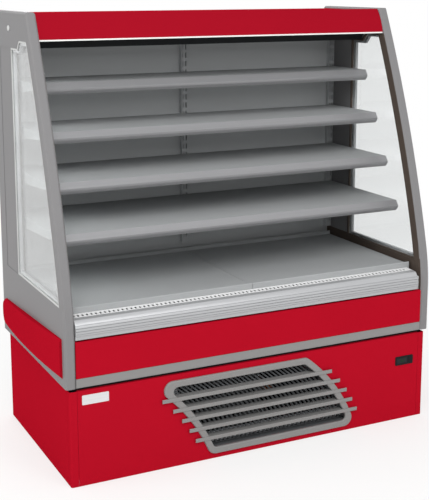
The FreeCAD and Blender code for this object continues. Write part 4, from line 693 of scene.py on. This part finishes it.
def shows_background(tree):
    """1 for the rays that show the background: the camera's own, and those that gloss and glass send on."""
    rays = add_node(tree, "ShaderNodeLightPath")
    sent_on = add_node(tree, "ShaderNodeMath", {0: rays.outputs["Is Glossy Ray"],
                                                1: rays.outputs["Is Transmission Ray"]}, operation="MAXIMUM")
    return add_node(tree, "ShaderNodeMath", {0: rays.outputs["Is Camera Ray"], 1: sent_on.outputs["Value"]},
                    operation="MAXIMUM").outputs["Value"]


class FRIDGE_OT_stage(bpy.types.Operator):
    """Make the floor, the light and the camera"""
    bl_idname = "fridge.stage"
    bl_label = "Stage"

    def execute(self, context):
        scene = context.scene
        studio = scene.fridge_studio
        scene.view_settings.view_transform = "Standard"
        corners = np.array([(-1, -1, 0), (1, -1, 0), (1, 1, 0), (-1, 1, 0)]) * FLOOR_HALF
        mesh = bpy.data.meshes.new("studio_floor")
        mesh.from_pydata(corners.tolist(), [], [(0, 1, 2, 3)])
        material, tree, place, end = new_material("matt painted studio floor")
        mottle = add_node(tree, "ShaderNodeTexNoise", {"Vector": place, "Scale": 3.0})
        pale = scene.fridge_colours.floor
        tone = add_node(tree, "ShaderNodeMix", {"Factor": mottle.outputs["Fac"], "A": shade(pale, 0.98),
                                                "B": pale}, data_type="RGBA")
        paint = add_node(tree, "ShaderNodeBsdfDiffuse", {"Color": tone.outputs["Result"]})
        white = add_node(tree, "ShaderNodeEmission", {"Color": (1, 1, 1, 1), "Strength": 1.0})
        # the floor turns white away from the fridge, so that no horizon shows
        away = add_node(tree, "ShaderNodeVectorMath", {0: place}, operation="LENGTH")
        near, far = FLOOR_FADE
        cover = add_node(tree, "ShaderNodeMapRange", {"Value": away.outputs["Value"], "From Min": near,
                                                      "From Max": far, "To Min": FLOOR_WHITE, "To Max": 1.0})
        seen = add_node(tree, "ShaderNodeMath", {0: shows_background(tree), 1: cover.outputs["Result"]},
                        operation="MULTIPLY")
        both = add_node(tree, "ShaderNodeMixShader", {0: seen.outputs["Value"], 1: paint.outputs["BSDF"],
                                                      2: white.outputs["Emission"]})
        finish_with(tree, end, both.outputs["Shader"])
        mesh.materials.append(material)
        floor = bpy.data.objects.new("studio_floor", mesh)
        scene.collection.objects.link(floor)

        world = bpy.data.worlds.new("studio")
        world.use_nodes = True
        scene.world = world
        tree = world.node_tree
        tree.nodes.clear()
        level = add_node(tree, "ShaderNodeMapRange", {"Value": shows_background(tree), "To Min": ROOM_LIGHT,
                                                      "To Max": 1.0})
        sky = add_node(tree, "ShaderNodeBackground", {"Color": (1, 1, 1, 1),
                                                      "Strength": level.outputs["Result"]})
        add_node(tree, "ShaderNodeOutputWorld", {"Surface": sky.outputs["Background"]})

        for name, spot, side, power in LAMPS:
            lamp = bpy.data.lights.new(name, "AREA")
            lamp.size, lamp.energy = side, power
            holder = bpy.data.objects.new(name, lamp)
            holder.location = spot
            holder.rotation_euler = (Vector(AIM) - Vector(spot)).to_track_quat("-Z", "Y").to_euler()
            scene.collection.objects.link(holder)

        camera = bpy.data.cameras.new("camera")
        camera.lens, camera.sensor_width, camera.shift_y = studio.lens, 36, studio.shift
        camera.clip_end = 100
        holder = bpy.data.objects.new("camera", camera)
        holder.location = studio.eye
        holder.rotation_euler = (math.pi / 2 - studio.pitch, 0, -studio.yaw)
        scene.collection.objects.link(holder)
        scene.camera = holder
        return {"FINISHED"}


OPERATORS = (FRIDGE_OT_stage, FRIDGE_OT_housing, FRIDGE_OT_shells, FRIDGE_OT_extrusions, FRIDGE_OT_interior,
             FRIDGE_OT_glazing, FRIDGE_OT_cooling, FRIDGE_OT_blind, FRIDGE_OT_spacers, FRIDGE_OT_screw_caps,
             FRIDGE_OT_plate, FRIDGE_OT_controller)


class FRIDGE_PT_panel(bpy.types.Panel):
    """Lists the steps that build the fridge"""
    bl_idname = "FRIDGE_PT_panel"
    bl_label = "Display fridge"
    bl_space_type = "VIEW_3D"
    bl_region_type = "UI"
    bl_category = "Display fridge"

    def draw(self, context):
        for operator in OPERATORS:
            self.layout.operator(operator.bl_idname)
        for group in ("fridge_colours", "fridge_sizes", "fridge_studio"):
            values = getattr(context.scene, group)
            box = self.layout.box()
            for name in values.__annotations__:
                box.prop(values, name)


CLASSES = (FridgeColours, FridgeSizes, FridgeStudio) + OPERATORS + (FRIDGE_PT_panel,)


def register():
    for kind in CLASSES:
        bpy.utils.register_class(kind)
    bpy.types.Scene.fridge_colours = PointerProperty(type=FridgeColours)
    bpy.types.Scene.fridge_sizes = PointerProperty(type=FridgeSizes)
    bpy.types.Scene.fridge_studio = PointerProperty(type=FridgeStudio)


def unregister():
    for name in ("fridge_colours", "fridge_sizes", "fridge_studio"):
        delattr(bpy.types.Scene, name)
    for kind in reversed(CLASSES):
        bpy.utils.unregister_class(kind)


def main():
    """Builds the fridge."""
    register()
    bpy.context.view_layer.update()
    for operator in OPERATORS:
        group, name = operator.bl_idname.split(".")
        getattr(getattr(bpy.ops, group), name)()


if __name__ == "__main__":
    main()
